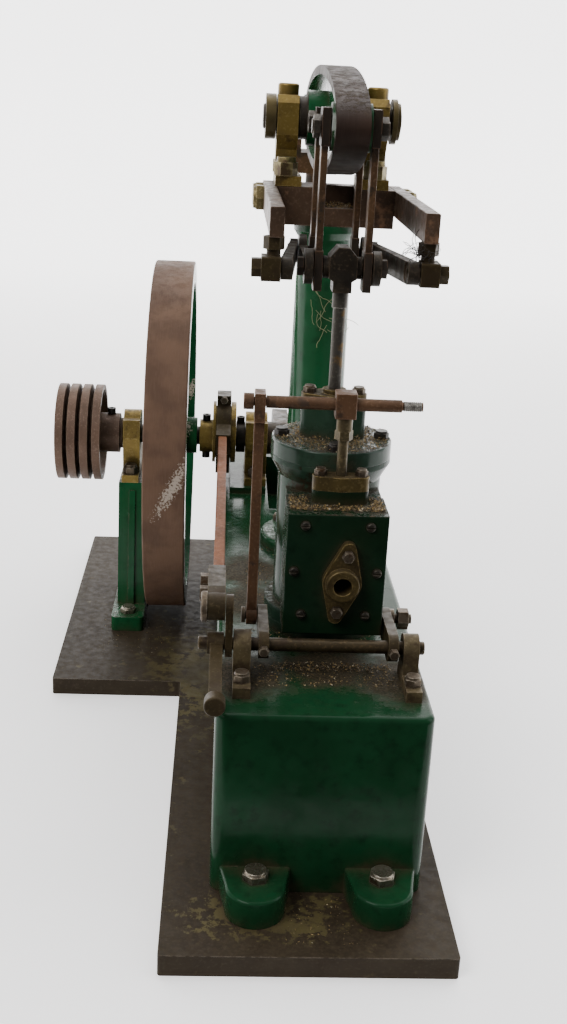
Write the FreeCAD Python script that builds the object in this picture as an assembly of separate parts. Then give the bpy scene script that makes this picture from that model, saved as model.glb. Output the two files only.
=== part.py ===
import FreeCAD, Part
import math
import os

# Model beam engine, in millimetres.
# X runs across the engine, with the flywheel at -X. Y runs along it, from the
# cylinder (-Y) to the crank (+Y). Z is up. The origin lies on the underside of
# the base plate, straight below the column and the beam's trunnion.

# ---- driving dimensions -------------------------------------------------------
BORE = 25.4
STROKE = 50.8
FLYWHEEL_R = 88.9
THROW = STROKE / 2

PLATE_TOP = 8.0
BED_TOP = 78.0
BEAM_Z = 264.7              # trunnion height
BEAM_ARM = 86.3             # trunnion to each end pin
BACK_ARM = 45.0             # trunnion to the back-link pin
LINK_DROP = 48.3            # length of the main and back links
RADIUS_ROD = 49.0           # back-link foot to the fixed pivot
PARALLEL_Z = BEAM_Z - LINK_DROP
PIVOT_Y = -BACK_ARM - RADIUS_ROD

CYLINDER_Y = -BEAM_ARM
SHAFT_Y = BEAM_ARM
SHAFT_Z = 101.9
SHAFT_R = 4.75
CRANK_TURN = 4.5            # crank above the horizontal when the beam is level
ECCENTRIC_THROW = 2.4

ROCKER_Y = -138.3
ROCKER_Z = 90.5
ROCKER_ARM = 25.0
ROCKER_R = 2.4
VALVE_X = 1.8
VALVE_Y = ROCKER_Y + ROCKER_ARM
CROSSBAR_Z = 172.5

RUNNING = 0.05              # radial clearance of a shaft in its bearing
APART = 0.3                 # gap between pieces that slide past each other

CRANK_PIN_Y = SHAFT_Y + THROW * math.cos(math.radians(CRANK_TURN))
CRANK_PIN_Z = SHAFT_Z + THROW * math.sin(math.radians(CRANK_TURN))
ECCENTRIC_Z = SHAFT_Z + ECCENTRIC_THROW

DIRECTION = {
    "x": FreeCAD.Vector(1, 0, 0),
    "y": FreeCAD.Vector(0, 1, 0),
    "z": FreeCAD.Vector(0, 0, 1),
}
SIDES = (-1, 1)

model = {}


# ---- small tools --------------------------------------------------------------
def point(axis, at, along):
    """A point from its place along an axis and its other two coordinates, in x, y, z order."""
    if axis == "x":
        return FreeCAD.Vector(along, at[0], at[1])
    if axis == "y":
        return FreeCAD.Vector(at[0], along, at[1])
    return FreeCAD.Vector(at[0], at[1], along)


def block(x, y, z):
    corner = FreeCAD.Vector(x[0], y[0], z[0])
    return Part.makeBox(x[1] - x[0], y[1] - y[0], z[1] - z[0], corner)


def rod(axis, at, radius, span):
    start = point(axis, at, span[0])
    return Part.makeCylinder(radius, span[1] - span[0], start, DIRECTION[axis])


def cone(axis, at, radii, span):
    start = point(axis, at, span[0])
    return Part.makeCone(radii[0], radii[1], span[1] - span[0], start, DIRECTION[axis])


def prism(axis, outline, span):
    """A flat outline in the plane across an axis, extruded along that axis."""
    corners = [point(axis, corner, span[0]) for corner in outline]
    face = Part.Face(Part.makePolygon(corners + corners[:1]))
    return face.extrude(DIRECTION[axis] * (span[1] - span[0]))


def hexagon(axis, at, flats, span, turn=0.0):
    radius = flats / math.sqrt(3)
    angles = [math.radians(60 * i + turn) for i in range(6)]
    outline = [(at[0] + radius * math.cos(a), at[1] + radius * math.sin(a)) for a in angles]
    return prism(axis, outline, span)


def bar(axis, a, b, radius_a, radius_b, span):
    """A flat bar with round ends of two radii, tangent sides between them."""
    away = (b[0] - a[0], b[1] - a[1])
    length = math.hypot(*away)
    heading = math.atan2(away[1], away[0])
    lean = math.acos((radius_a - radius_b) / length)
    outline = []
    for centre, radius, sign in ((a, radius_a, 1), (b, radius_b, 1), (b, radius_b, -1), (a, radius_a, -1)):
        angle = heading + sign * lean
        outline.append((centre[0] + radius * math.cos(angle), centre[1] + radius * math.sin(angle)))
    return fuse(prism(axis, outline, span), rod(axis, a, radius_a, span), rod(axis, b, radius_b, span))


def turned(axis_y, axis_z, profile):
    """A solid of revolution about an X axis, from (x, radius) points."""
    corners = [FreeCAD.Vector(x, axis_y, axis_z + radius) for x, radius in profile]
    face = Part.Face(Part.makePolygon(corners + corners[:1]))
    return face.revolve(FreeCAD.Vector(0, axis_y, axis_z), DIRECTION["x"], 360)


def fuse(first, *others):
    return first.multiFuse(list(others)).removeSplitter()


def cut(shape, *tools):
    for tool in tools:
        shape = shape.cut(tool)
    return shape


def rounded(shape, radius, chosen):
    """Rounds the edges that the chosen test picks."""
    return shape.makeFillet(radius, [edge for edge in shape.Edges if chosen(edge)])


def runs_along(edge, axis):
    if not isinstance(edge.Curve, Part.Line):
        return False
    return abs(abs(edge.Curve.Direction.dot(DIRECTION[axis])) - 1) < 0.001


def oval(centre, half_length, half_width, tip, span, axis="z"):
    """A pointed oval flange: a round middle hulled to two small round tips."""
    left = (centre[0] - half_length + tip, centre[1])
    right = (centre[0] + half_length - tip, centre[1])
    if axis == "y":
        left = (centre[0], centre[1] - half_length + tip)
        right = (centre[0], centre[1] + half_length - tip)
    first = bar(axis, centre, left, half_width, tip, span)
    second = bar(axis, centre, right, half_width, tip, span)
    return fuse(first, second)


def bolt(axis, at, seat, up, flats, head, radius, grip, turn=0.0):
    """A hex bolt whose head sits on seat and points up (+1) or down (-1) the axis."""
    head_span = sorted((seat, seat + up * head))
    shank_span = sorted((seat, seat - up * grip))
    crown = hexagon(axis, at, flats, head_span, turn)
    rim = (flats / math.sqrt(3), flats / 2 * 0.9)
    dome = cone(axis, at, rim if up > 0 else rim[::-1], head_span)
    crown = crown.common(fuse(dome, rod(axis, at, rim[0], sorted((seat, seat + up * head * 0.72)))))
    return fuse(crown, rod(axis, at, radius, shank_span))


def hole(axis, at, seat, up, radius, grip):
    """The clearance hole that goes with a bolt."""
    return rod(axis, at, radius + RUNNING, sorted((seat + up * 0.01, seat - up * (grip + 0.2))))


def drill(host, *tools):
    """Cuts tools out of every solid of a node."""
    made = model[host]
    model[host] = [cut(solid, *tools) for solid in made] if isinstance(made, list) else cut(made, *tools)


def add_bolts(name, hosts, axis, places, seat, up, flats, head, radius, grip, turn=0.0):
    """Adds a group of equal bolts to one node and drills their holes in the hosts."""
    solids = model.setdefault(name, [])
    for at in places:
        solids.append(bolt(axis, at, seat, up, flats, head, radius, grip, turn))
        for host in hosts:
            drill(host, hole(axis, at, seat, up, radius, grip))


# ---- base plate and bed -------------------------------------------------------
PLATE_X = (-57.3, 43.0)
PLATE_Y = (-202.3, 180.5)
WING_X = (-117.5, -57.3)
WING_Y = (-9.5, 180.5)
BED_X = (-40.9, 34.3)
BED_Y = (-168.0, 146.3)
WALL = 5.0
PIT_X = 17.0
PIT_Y = (42.0, 130.5)
PIT_FLOOR = 56.0
LUG_X = (-25.1, 19.0)
LUG_REACH = 20.7
LUG_R = 10.5
LUG_ROOT = 13.3             # half width of a lug where it meets the bed
LUG_TOP = 18.5
PAD_X = (-36.4, -18.0)
PAD_TOP = 81.0


def is_lug_rim(edge):
    return edge.BoundBox.ZMin > LUG_TOP - 0.1 and not runs_along(edge, "x")


def make_base():
    main = block(PLATE_X, PLATE_Y, (0, PLATE_TOP))
    wing = block(WING_X, WING_Y, (0, PLATE_TOP))
    plate = fuse(main, wing)
    model["base_plate"] = rounded(plate, 1.2, lambda e: runs_along(e, "z"))

    outer = block(BED_X, BED_Y, (PLATE_TOP, BED_TOP))
    outer = rounded(outer, 5.0, lambda e: runs_along(e, "z"))
    outer = rounded(outer, 2.0, lambda e: e.BoundBox.ZMin > BED_TOP - 0.1)
    inside = block(
        (BED_X[0] + WALL, BED_X[1] - WALL),
        (BED_Y[0] + WALL, BED_Y[1] - WALL),
        (PLATE_TOP, BED_TOP - WALL),
    )
    pit_walls = block(
        (-PIT_X - WALL, PIT_X + WALL),
        (PIT_Y[0] - WALL, PIT_Y[1] + WALL),
        (PIT_FLOOR - WALL, BED_TOP),
    )
    bed = cut(outer, inside.cut(pit_walls))
    bed = cut(bed, block((-PIT_X, PIT_X), PIT_Y, (PIT_FLOOR, BED_TOP)))
    for x in LUG_X:
        for end, out in ((BED_Y[0], -1), (BED_Y[1], 1)):
            centre = end + out * (LUG_REACH - LUG_R)
            root = end - out * WALL
            outline = [(x - LUG_ROOT, root), (x + LUG_ROOT, root), (x + LUG_R, centre), (x - LUG_R, centre)]
            tongue = prism("z", outline, (PLATE_TOP, LUG_TOP))
            lug = fuse(tongue, rod("z", (x, centre), LUG_R, (PLATE_TOP, LUG_TOP)))
            bed = bed.fuse(rounded(lug, 1.0, is_lug_rim))
    pad = block(PAD_X, (64.7, 107.9), (BED_TOP, PAD_TOP))
    model["bed"] = bed.fuse(pad).removeSplitter()

    lug_bolts = [(x, y) for x in LUG_X for y in (BED_Y[0] - 6.5, BED_Y[1] + 6.5)]
    add_bolts("foot_bolts", ["bed", "base_plate"], "z", lug_bolts, LUG_TOP, 1, 8.2, 3.6, 2.2, 16.0, 15)


# ---- cylinder, valve chest and their covers -----------------------------------
BODY_R = 19.5
FLANGE_R = 22.75
BARREL_Z = (82.0, 147.0)
COVER_Z = (147.0, 153.0)
COVER_BOLT_RING = 18.9
BOX_TOP = 167.0             # stuffing box of the cylinder
PISTON_ROD_R = 2.4
PORT_FACE_Y = -107.0
CHEST_X = (-17.5, 18.6)
CHEST_Z = (90.0, 136.0)
CHEST_Y = (-124.0, PORT_FACE_Y)
CHEST_WALL = 5.0
CHEST_COVER_Y = (-128.0, -124.0)
INLET = (2.9, 111.3)
INLET_R = 3.3
INLET_LEAN = 8.0            # the inlet flange leans this many degrees from upright
INLET_BOLT = 10.8
CHEST_BOX_TOP = 141.0       # stuffing box of the valve chest
VALVE_ROD_R = 1.9
SCREW_HEAD_R = 1.7
PORT_HALF = 6.0
PORT_SHIFT = 7.0            # height of the steam ports above and below mid-chest


def make_cylinder():
    centre = (0, CYLINDER_Y)
    middle = sum(BARREL_Z) / 2
    body = rod("z", centre, BODY_R, BARREL_Z)
    low = rod("z", centre, FLANGE_R, (BARREL_Z[0], BARREL_Z[0] + 6))
    high = rod("z", centre, FLANGE_R, (BARREL_Z[1] - 2, BARREL_Z[1]))
    flare = cone("z", centre, (BODY_R, FLANGE_R), (BARREL_Z[1] - 8, BARREL_Z[1] - 2))
    port_block = block((-17, 18), (PORT_FACE_Y, CYLINDER_Y), CHEST_Z)
    body = fuse(body, low, high, flare, port_block)
    body = cut(body, rod("z", centre, BORE / 2, (BARREL_Z[0] - 1, BARREL_Z[1] + 1)))
    for end in SIDES:
        port = sorted((middle + end * (PORT_SHIFT - 1), middle + end * (PORT_SHIFT + 1)))
        riser = sorted((middle + end * (PORT_SHIFT - 1), middle + end * 30))
        mouth = sorted((middle + end * 27.5, middle + end * 30))
        across = (-PORT_HALF, PORT_HALF)
        body = cut(
            body,
            block(across, (PORT_FACE_Y - 1, PORT_FACE_Y + 4.6), port),
            block(across, (PORT_FACE_Y + 2.2, PORT_FACE_Y + 4.6), riser),
            block(across, (PORT_FACE_Y + 2.2, CYLINDER_Y - 8), mouth),
        )
    exhaust = block((-PORT_HALF, PORT_HALF), (PORT_FACE_Y - 1, PORT_FACE_Y + 5), (middle - 2, middle + 2))
    model["cylinder"] = cut(body, exhaust)

    base = rod("z", centre, FLANGE_R, (BED_TOP, BARREL_Z[0]))
    spigot = rod("z", centre, BORE / 2 - RUNNING, (BARREL_Z[0] - 1, BARREL_Z[0] + 1.5))
    model["cylinder_bottom_cover"] = fuse(base, spigot)

    cover = rod("z", centre, FLANGE_R, COVER_Z)
    cover = rounded(cover, 0.8, lambda e: e.BoundBox.ZMin > COVER_Z[1] - 0.1)
    register = rod("z", centre, BORE / 2 - RUNNING, (COVER_Z[0] - 1.5, COVER_Z[0] + 1))
    stuffing = oval(centre, 12.3, 7.0, 3.4, (COVER_Z[1] - 1, BOX_TOP))
    cover = fuse(cover, register, stuffing)
    model["cylinder_cover"] = cut(cover, rod("z", centre, PISTON_ROD_R + RUNNING, (140, 180)))
    gland = oval(centre, 12.3, 7.2, 3.4, (BOX_TOP, BOX_TOP + 3))
    neck = rod("z", centre, 4.4, (BOX_TOP + 2, BOX_TOP + 4.6))
    gland = cut(fuse(gland, neck), rod("z", centre, PISTON_ROD_R + RUNNING, (160, 180)))
    model["glands"] = [gland]


def make_chest():
    middle = ((CHEST_X[0] + CHEST_X[1]) / 2, (CHEST_Z[0] + CHEST_Z[1]) / 2)
    chest = block(CHEST_X, CHEST_Y, CHEST_Z)
    boss_at = (VALVE_X, VALVE_Y)
    chest = fuse(chest, oval(boss_at, 10.3, 4.1, 2.8, (CHEST_Z[1] - 1, CHEST_BOX_TOP)))
    space = block(
        (CHEST_X[0] + CHEST_WALL, CHEST_X[1] - CHEST_WALL),
        (CHEST_Y[0] - 1, CHEST_Y[1] + 1),
        (CHEST_Z[0] + CHEST_WALL, CHEST_Z[1] - CHEST_WALL),
    )
    rod_way = rod("z", boss_at, VALVE_ROD_R + RUNNING, (CHEST_Z[0] + 2, 150))
    model["valve_chest"] = cut(chest, space, rod_way)
    gland = oval(boss_at, 10.3, 4.1, 2.8, (CHEST_BOX_TOP, CHEST_BOX_TOP + 5.3))
    model["glands"].append(cut(gland, rod_way))

    cover = block(CHEST_X, CHEST_COVER_Y, CHEST_Z)
    cover = rounded(cover, 0.5, lambda e: e.BoundBox.YMax < CHEST_COVER_Y[0] + 0.1)
    bore = rod("y", INLET, INLET_R, (-140, -123))
    model["chest_cover"] = cut(cover, bore)
    flange_y = (CHEST_COVER_Y[0] - 3.2, CHEST_COVER_Y[0])
    ring_y = (CHEST_COVER_Y[0] - 6.2, CHEST_COVER_Y[0] - 2)
    flange = fuse(oval(INLET, 15.5, 7.0, 2.6, flange_y, "y"), rod("y", INLET, 6.0, ring_y))
    flange.rotate(point("y", INLET, 0), DIRECTION["y"], INLET_LEAN)
    flange = rounded(flange, 0.6, lambda e: e.BoundBox.YMax < ring_y[0] + 0.1)
    model["steam_inlet_flange"] = cut(flange, bore)

    screws = []
    for across, rise in ((11.6, 19.0), (14.9, 1.6), (11.6, -15.0)):
        for side in SIDES:
            at = (middle[0] + side * across, middle[1] + rise)
            head = rod("y", at, SCREW_HEAD_R, (CHEST_COVER_Y[0] - 1.4, CHEST_COVER_Y[0]))
            head = rounded(head, 0.9, lambda e: e.BoundBox.YMax < CHEST_COVER_Y[0] - 1.3)
            slot = block((at[0] - 3, at[0] + 3), (-130, CHEST_COVER_Y[0] - 0.9), (at[1] - 0.3, at[1] + 0.3))
            shank = rod("y", at, 1.1, (CHEST_COVER_Y[0] - 0.2, CHEST_COVER_Y[1] + 12))
            screws.append(fuse(head.cut(slot), shank))
            way = rod("y", at, 1.1 + RUNNING, (CHEST_COVER_Y[0], CHEST_COVER_Y[1] + 12.2))
            for host in ("chest_cover", "valve_chest"):
                drill(host, way)
    model["chest_screws"] = screws


def add_cylinder_bolts():
    ring = [math.radians(90 * i) for i in range(4)]
    places = [(COVER_BOLT_RING * math.cos(a), CYLINDER_Y + COVER_BOLT_RING * math.sin(a)) for a in ring]
    add_bolts("cover_bolts", ["cylinder_cover", "cylinder"], "z", places, COVER_Z[1], 1, 5.0, 3.0, 1.4, 7.8)
    places = [(side * 9.2, CYLINDER_Y) for side in SIDES]
    hosts = ["glands", "cylinder_cover"]
    add_bolts("gland_bolts", hosts, "z", places, BOX_TOP + 3, 1, 4.4, 2.6, 1.2, 9.0)
    places = [(VALVE_X + side * 7.4, VALVE_Y) for side in SIDES]
    hosts = ["glands", "valve_chest"]
    add_bolts("gland_bolts", hosts, "z", places, CHEST_BOX_TOP + 5.3, 1, 4.0, 2.6, 1.0, 8.0)
    lean = math.radians(INLET_LEAN)
    shift = (INLET_BOLT * math.sin(lean), INLET_BOLT * math.cos(lean))
    places = [(INLET[0] + side * shift[0], INLET[1] + side * shift[1]) for side in SIDES]
    hosts = ["steam_inlet_flange", "chest_cover"]
    add_bolts("gland_bolts", hosts, "y", places, CHEST_COVER_Y[0] - 3.2, -1, 4.0, 2.2, 1.0, 6.0)


# ---- column, entablature and the fixed pivots ---------------------------------
COLUMN_Z = (BED_TOP, 222.5)
ENTABLATURE_X = (-22.0, 27.0)
ENTABLATURE_Z = (222.5, 238.0)
TROUGH_X = (-6.0, 11.0)
ARM_Z = (227.5, 238.0)
ARM_Y = (-99.0, 13.0)
ARM_THICK = 5.2
PIVOT_BLOCK_X = {-1: (-29.5, -22.7), 1: (27.0, 33.8)}
PIVOT_BLOCK_HALF = 4.3
STUD_X = {-1: -25.3, 1: 29.6}
STUD_COLLAR_R = 2.5
BEARING_X = 18.5
BEARING_HALF = 4.35
BEARING_TOP = 278.0


def make_column():
    foot = rod("z", (0, 0), 22.0, (BED_TOP, BED_TOP + 5))
    foot = rounded(foot, 1.5, lambda e: e.BoundBox.ZMin > BED_TOP + 4.9)
    step = cone("z", (0, 0), (16.0, 12.6), (BED_TOP + 5, BED_TOP + 11))
    shaft = cone("z", (0, 0), (12.6, 11.6), (BED_TOP + 4, COLUMN_Z[1] - 4))
    capital = cone("z", (0, 0), (11.6, 13.6), (COLUMN_Z[1] - 6, COLUMN_Z[1] - 3))
    cap = rod("z", (0, 0), 13.6, (COLUMN_Z[1] - 3, COLUMN_Z[1]))
    model["column"] = fuse(foot, step, shaft, capital, cap)
    ring = [math.radians(45 + 90 * i) for i in range(4)]
    places = [(18.6 * math.cos(a), 18.6 * math.sin(a)) for a in ring]
    add_bolts("bed_top_bolts", ["column", "bed"], "z", places, BED_TOP + 5, 1, 5.0, 3.0, 1.5, 9.0)

    table = block(ENTABLATURE_X, (-13, 13), ENTABLATURE_Z)
    trough = block(TROUGH_X, (-14, 2), (230, 240))
    model["entablature"] = rounded(cut(table, trough), 0.5, lambda e: e.BoundBox.ZMin > 237.9)
    arm_x = {-1: (ENTABLATURE_X[0] - ARM_THICK, ENTABLATURE_X[0])}
    arm_x[1] = (ENTABLATURE_X[1], ENTABLATURE_X[1] + ARM_THICK)
    arms = [block(arm_x[side], ARM_Y, ARM_Z) for side in SIDES]
    model["radius_arms"] = [rounded(arm, 0.5, lambda e: runs_along(e, "y")) for arm in arms]
    for side in SIDES:
        seat = arm_x[side][0] if side < 0 else arm_x[side][1]
        places = [(-7.0, 232.6), (7.0, 232.6)]
        hosts = ["radius_arms", "entablature"]
        add_bolts("entablature_bolts", hosts, "x", places, seat, side, 9.6, 4.3, 1.8, 12.0)


def make_pivots():
    """The two blocks under the radius arms that carry the radius rods."""
    blocks = []
    studs = []
    for side in SIDES:
        x = PIVOT_BLOCK_X[side]
        stud_x = STUD_X[side]
        depth = (PIVOT_Y - 5, PIVOT_Y + 5)
        body = block(x, depth, (PARALLEL_Z - PIVOT_BLOCK_HALF, PARALLEL_Z + PIVOT_BLOCK_HALF))
        body = rounded(body, 0.8, lambda e: runs_along(e, "x"))
        collar_z = (PARALLEL_Z + PIVOT_BLOCK_HALF, PARALLEL_Z + PIVOT_BLOCK_HALF + 2.3)
        nut_z = (collar_z[1], ARM_Z[0])
        stud = rod("z", (stud_x, PIVOT_Y), 1.8, (collar_z[0] - 1.6, ARM_Z[1] - 3))
        nut = hexagon("z", (stud_x, PIVOT_Y), 6.6, nut_z)
        collar = rod("z", (stud_x, PIVOT_Y), STUD_COLLAR_R, collar_z)
        socket = rod("z", (stud_x, PIVOT_Y), 1.8 + RUNNING, (collar_z[0] - 1.8, ARM_Z[1] - 2.8))
        studs.append(fuse(stud, nut, collar))
        drill("radius_arms", socket)
        outer = x[0] if side < 0 else x[1]
        inner = x[1] if side < 0 else x[0]
        tip = inner - side * 3.8
        pin = rod("x", (PIVOT_Y, PARALLEL_Z), 1.9, sorted((outer, tip)))
        head = hexagon("x", (PIVOT_Y, PARALLEL_Z), 6.4, sorted((outer, outer + side * 3.5)))
        studs.append(fuse(pin, head))
        way = rod("x", (PIVOT_Y, PARALLEL_Z), 1.9 + RUNNING, (x[0] - 1, x[1] + 1))
        blocks.append(cut(body, socket, way))
    model["radius_pivots"] = blocks + studs


def make_trunnion_bearings():
    base_z = (ENTABLATURE_Z[1], ENTABLATURE_Z[1] + 4)
    bore = rod("x", (0, BEAM_Z), 5.0 + RUNNING, (-60, 60))
    model["trunnion_bearings"] = []
    for side in SIDES:
        x = (side * BEARING_X - BEARING_HALF, side * BEARING_X + BEARING_HALF)
        foot_x = (x[0], -12.0) if side < 0 else (12.0, x[1] + 1.2)
        foot = block(foot_x, (-13.0, 13.0), base_z)
        half = [(4.4, base_z[0]), (4.4, 252.0), (8.6, 258.0), (8.6, 270.5), (6.0, 273.5)]
        post = prism("x", half + [(-y, z) for y, z in reversed(half)], x)
        cap = rod("z", (side * BEARING_X, 0), BEARING_HALF, (BEAM_Z, BEARING_TOP))
        cap = rounded(cap, 1.0, lambda e: e.BoundBox.ZMin > BEARING_TOP - 0.1)
        model["trunnion_bearings"].append(cut(fuse(foot, post, cap), bore))
    for side in SIDES:
        places = [(side * BEARING_X, -9.4), (side * BEARING_X, 9.4)]
        hosts = ["trunnion_bearings", "entablature"]
        add_bolts("entablature_bolts", hosts, "z", places, base_z[1], 1, 8.4, 7.4, 2.4, 7.0)


make_base()
make_cylinder()
make_chest()
add_cylinder_bolts()
make_column()
make_pivots()
make_trunnion_bearings()


# ---- crankshaft bearings ------------------------------------------------------
MAIN_X = (-29.0, -17.9)
OUTER_X = (-91.8, -83.2)
PEDESTAL_TOP = 80.6
PEDESTAL_X = (-93.2, -79.2)
PEDESTAL_FOOT_X = (-95.0, -78.6)
PEDESTAL_FOOT_Y = (45.0, 127.6)


def add_cap_screw(at, top):
    """A slotted screw sunk flush into a bearing cap."""
    grip = 14.0
    shank = rod("z", at, 1.3, (top - grip, top))
    slot = block((at[0] - 2, at[0] + 2), (at[1] - 0.3, at[1] + 0.3), (top - 0.7, top + 1))
    model.setdefault("bearing_bolts", []).append(shank.cut(slot))
    for host in ("shaft_bearings", "bearing_caps"):
        drill(host, hole("z", at, top, 1, 1.3, grip))


def make_bearing(x, base_z, cap_top, foot_half, under):
    """A split brass bearing: base with a flanged foot, cap, two sunk screws and two foot bolts."""
    centre = (SHAFT_Y, SHAFT_Z)
    foot = block(x, (SHAFT_Y - foot_half, SHAFT_Y + foot_half), (base_z, base_z + 3.8))
    body = prism("x", [(SHAFT_Y - 9, base_z), (SHAFT_Y + 9, base_z), (SHAFT_Y + 11, SHAFT_Z),
                       (SHAFT_Y - 11, SHAFT_Z)], x)
    bore = rod("x", centre, SHAFT_R + RUNNING, (-120, 0))
    model.setdefault("shaft_bearings", []).append(cut(fuse(foot, body), bore))
    cap = block(x, (SHAFT_Y - 11, SHAFT_Y + 11), (SHAFT_Z, cap_top - 3))
    crown = rod("x", (SHAFT_Y, cap_top - 7.4), 7.4, x).common(block(x, (0, 200), (SHAFT_Z, 200)))
    model.setdefault("bearing_caps", []).append(cut(fuse(cap, crown), bore))
    middle = sum(x) / 2
    for side in SIDES:
        add_cap_screw((middle, SHAFT_Y + side * 9.1), cap_top - 3)
    places = [(middle, SHAFT_Y + side * (foot_half - 4.4)) for side in SIDES]
    add_bolts("bearing_bolts", ["shaft_bearings", under], "z", places, base_z + 3.8, 1, 6.4, 4.8, 1.7, 11.0)


def make_shaft_supports():
    make_bearing(MAIN_X, PAD_TOP, 115.5, 18.0, "bed")

    foot = block(PEDESTAL_FOOT_X, PEDESTAL_FOOT_Y, (PLATE_TOP, 15.5))
    foot = rounded(foot, 2.5, lambda e: runs_along(e, "z"))
    outline = [(SHAFT_Y - 23.5, 12), (SHAFT_Y + 23.5, 12),
               (SHAFT_Y + 18, PEDESTAL_TOP), (SHAFT_Y - 18, PEDESTAL_TOP)]
    body = prism("x", outline, PEDESTAL_X)
    middle = sum(PEDESTAL_X) / 2
    ridge_outline = [(SHAFT_Y - 25.0, 12), (SHAFT_Y + 25.0, 12), (SHAFT_Y + 19, PEDESTAL_TOP - 4),
                     (SHAFT_Y - 19, PEDESTAL_TOP - 4)]
    ridge = prism("x", ridge_outline, (middle - 1.6, middle + 1.6))
    model["outboard_pedestal"] = fuse(foot, body, ridge)
    make_bearing(OUTER_X, PEDESTAL_TOP, 114.6, 18.0, "outboard_pedestal")
    places = [(sum(PEDESTAL_FOOT_X) / 2, y) for y in (PEDESTAL_FOOT_Y[0] + 7.5, PEDESTAL_FOOT_Y[1] - 7.5)]
    hosts = ["outboard_pedestal", "base_plate"]
    add_bolts("foot_bolts", hosts, "z", places, 15.5, 1, 7.1, 3.2, 2.0, 13.0, 15)


# ---- crankshaft and what turns with it ----------------------------------------
SHAFT_X = (-124.0, -7.0)
FLYWHEEL_X = (-76.9, -57.3)
RIM_INNER = 78.5
HUB_X = (-79.6, -54.1)
PULLEY_X = (-125.0, -102.5)
PULLEY_R = 24.7
PULLEY_HUB_R = 10.2
PULLEY_FLANGE = 3.9
GROOVES = 3
GROOVE_DEPTH = 5.5
COLLAR_X = (-33.8, -29.3)
SHEAVE_X = (-46.0, -34.1)
STRAP_X = (-44.1, -36.9)
SHEAVE_R = 13.5
CRANK_X = (-17.6, -6.5)


def make_crankshaft():
    centre = (SHAFT_Y, SHAFT_Z)
    model["crankshaft"] = rod("x", centre, SHAFT_R, SHAFT_X)
    bore = rod("x", centre, SHAFT_R, (-140, 0))

    rim = rod("x", centre, FLYWHEEL_R, FLYWHEEL_X).cut(rod("x", centre, RIM_INNER, (-90, -40)))
    rim = rounded(rim, 0.8, lambda e: abs(e.BoundBox.YLength - 2 * FLYWHEEL_R) < 1)
    middle = sum(FLYWHEEL_X) / 2
    spokes = []
    for i in range(6):
        outline = [(SHAFT_Y - 6.5, SHAFT_Z + 8), (SHAFT_Y + 6.5, SHAFT_Z + 8),
                   (SHAFT_Y + 4.5, SHAFT_Z + RIM_INNER + 2), (SHAFT_Y - 4.5, SHAFT_Z + RIM_INNER + 2)]
        spoke = prism("x", outline, (middle - 3.5, middle + 3.5))
        spoke = rounded(spoke, 1.6, lambda e: e.BoundBox.ZLength > 50)
        spoke.rotate(FreeCAD.Vector(0, SHAFT_Y, SHAFT_Z), DIRECTION["x"], 60 * i + 30)
        spokes.append(spoke)
    hub = rod("x", centre, 9.35, HUB_X)
    boss = rod("x", centre, 14.0, (middle - 7, middle + 7))
    model["flywheel"] = cut(fuse(rim, hub, boss, *spokes), bore)

    pitch = (PULLEY_X[1] - PULLEY_X[0] - PULLEY_FLANGE) / GROOVES
    floor = PULLEY_R - GROOVE_DEPTH
    profile = [(PULLEY_X[0], 0)]
    for i in range(GROOVES):
        start = PULLEY_X[0] + i * pitch
        profile += [(start, PULLEY_R), (start + PULLEY_FLANGE, PULLEY_R)]
        profile += [(start + PULLEY_FLANGE + 1.0, floor), (start + pitch - 1.0, floor)]
    dish = PULLEY_X[1] - 6
    profile += [(PULLEY_X[1] - PULLEY_FLANGE, PULLEY_R),
                (PULLEY_X[1], PULLEY_R), (PULLEY_X[1], PULLEY_R - 2.6)]
    profile += [(dish, PULLEY_R - 5), (dish, PULLEY_HUB_R), (-93.9, PULLEY_HUB_R)]
    profile += [(-93.9, 7.8), (-92.5, 7.8), (-92.5, 0)]
    model["pulley"] = cut(turned(SHAFT_Y, SHAFT_Z, profile), bore)

    web = bar("x", centre, (CRANK_PIN_Y, CRANK_PIN_Z), 8.5, 6.8, (-14.4, CRANK_X[1]))
    boss = rod("x", centre, 8.5, CRANK_X)
    model["crank"] = cut(fuse(web, boss), bore)

    collar = rod("x", centre, 8.0, COLLAR_X)
    model["shaft_collar"] = cut(collar, bore)

    sheave_at = (SHAFT_Y, ECCENTRIC_Z)
    hub = rod("x", centre, 8.5, (-52.7, SHEAVE_X[0] + 1))
    drum = rod("x", sheave_at, SHEAVE_R, SHEAVE_X)
    left = rod("x", sheave_at, 15.8, (SHEAVE_X[0], STRAP_X[0] - APART))
    right = rod("x", sheave_at, 15.8, (STRAP_X[1] + APART, SHEAVE_X[1]))
    model["eccentric_sheave"] = cut(fuse(hub, drum, left, right), bore)

    screws = []
    settings = (
        ("eccentric_sheave", -49.3, 8.5, 3.4, 1),
        ("eccentric_sheave", -49.3, 8.5, 3.4, -1),
        ("pulley", -98.4, PULLEY_HUB_R, 5.1, 1),
        ("shaft_collar", -31.6, 8.0, 2.9, 1),
    )
    for host, x, seat_r, length, up in settings:
        at = (x, SHAFT_Y)
        seat = SHAFT_Z + up * seat_r
        tip = seat - up * length
        shank = rod("z", at, 1.3, sorted((tip, seat + up * 0.5)))
        head = rod("z", at, 2.1, sorted((seat + up * 0.05, seat + up * 3.0)))
        socket = hexagon("z", at, 2.0, sorted((seat + up * 1.6, seat + up * 4.0)))
        screws.append(cut(fuse(shank, head), socket))
        drill(host, rod("z", at, 1.3 + RUNNING, sorted((tip - up * 0.1, seat + up * 2))))
    model["set_screws"] = screws


# ---- eccentric strap and rod --------------------------------------------------
GAB_X = (-44.7, -38.4)
GAB_EYE = (ROCKER_Y, 104.6)
ROD_X = (-43.0, -38.8)


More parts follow.
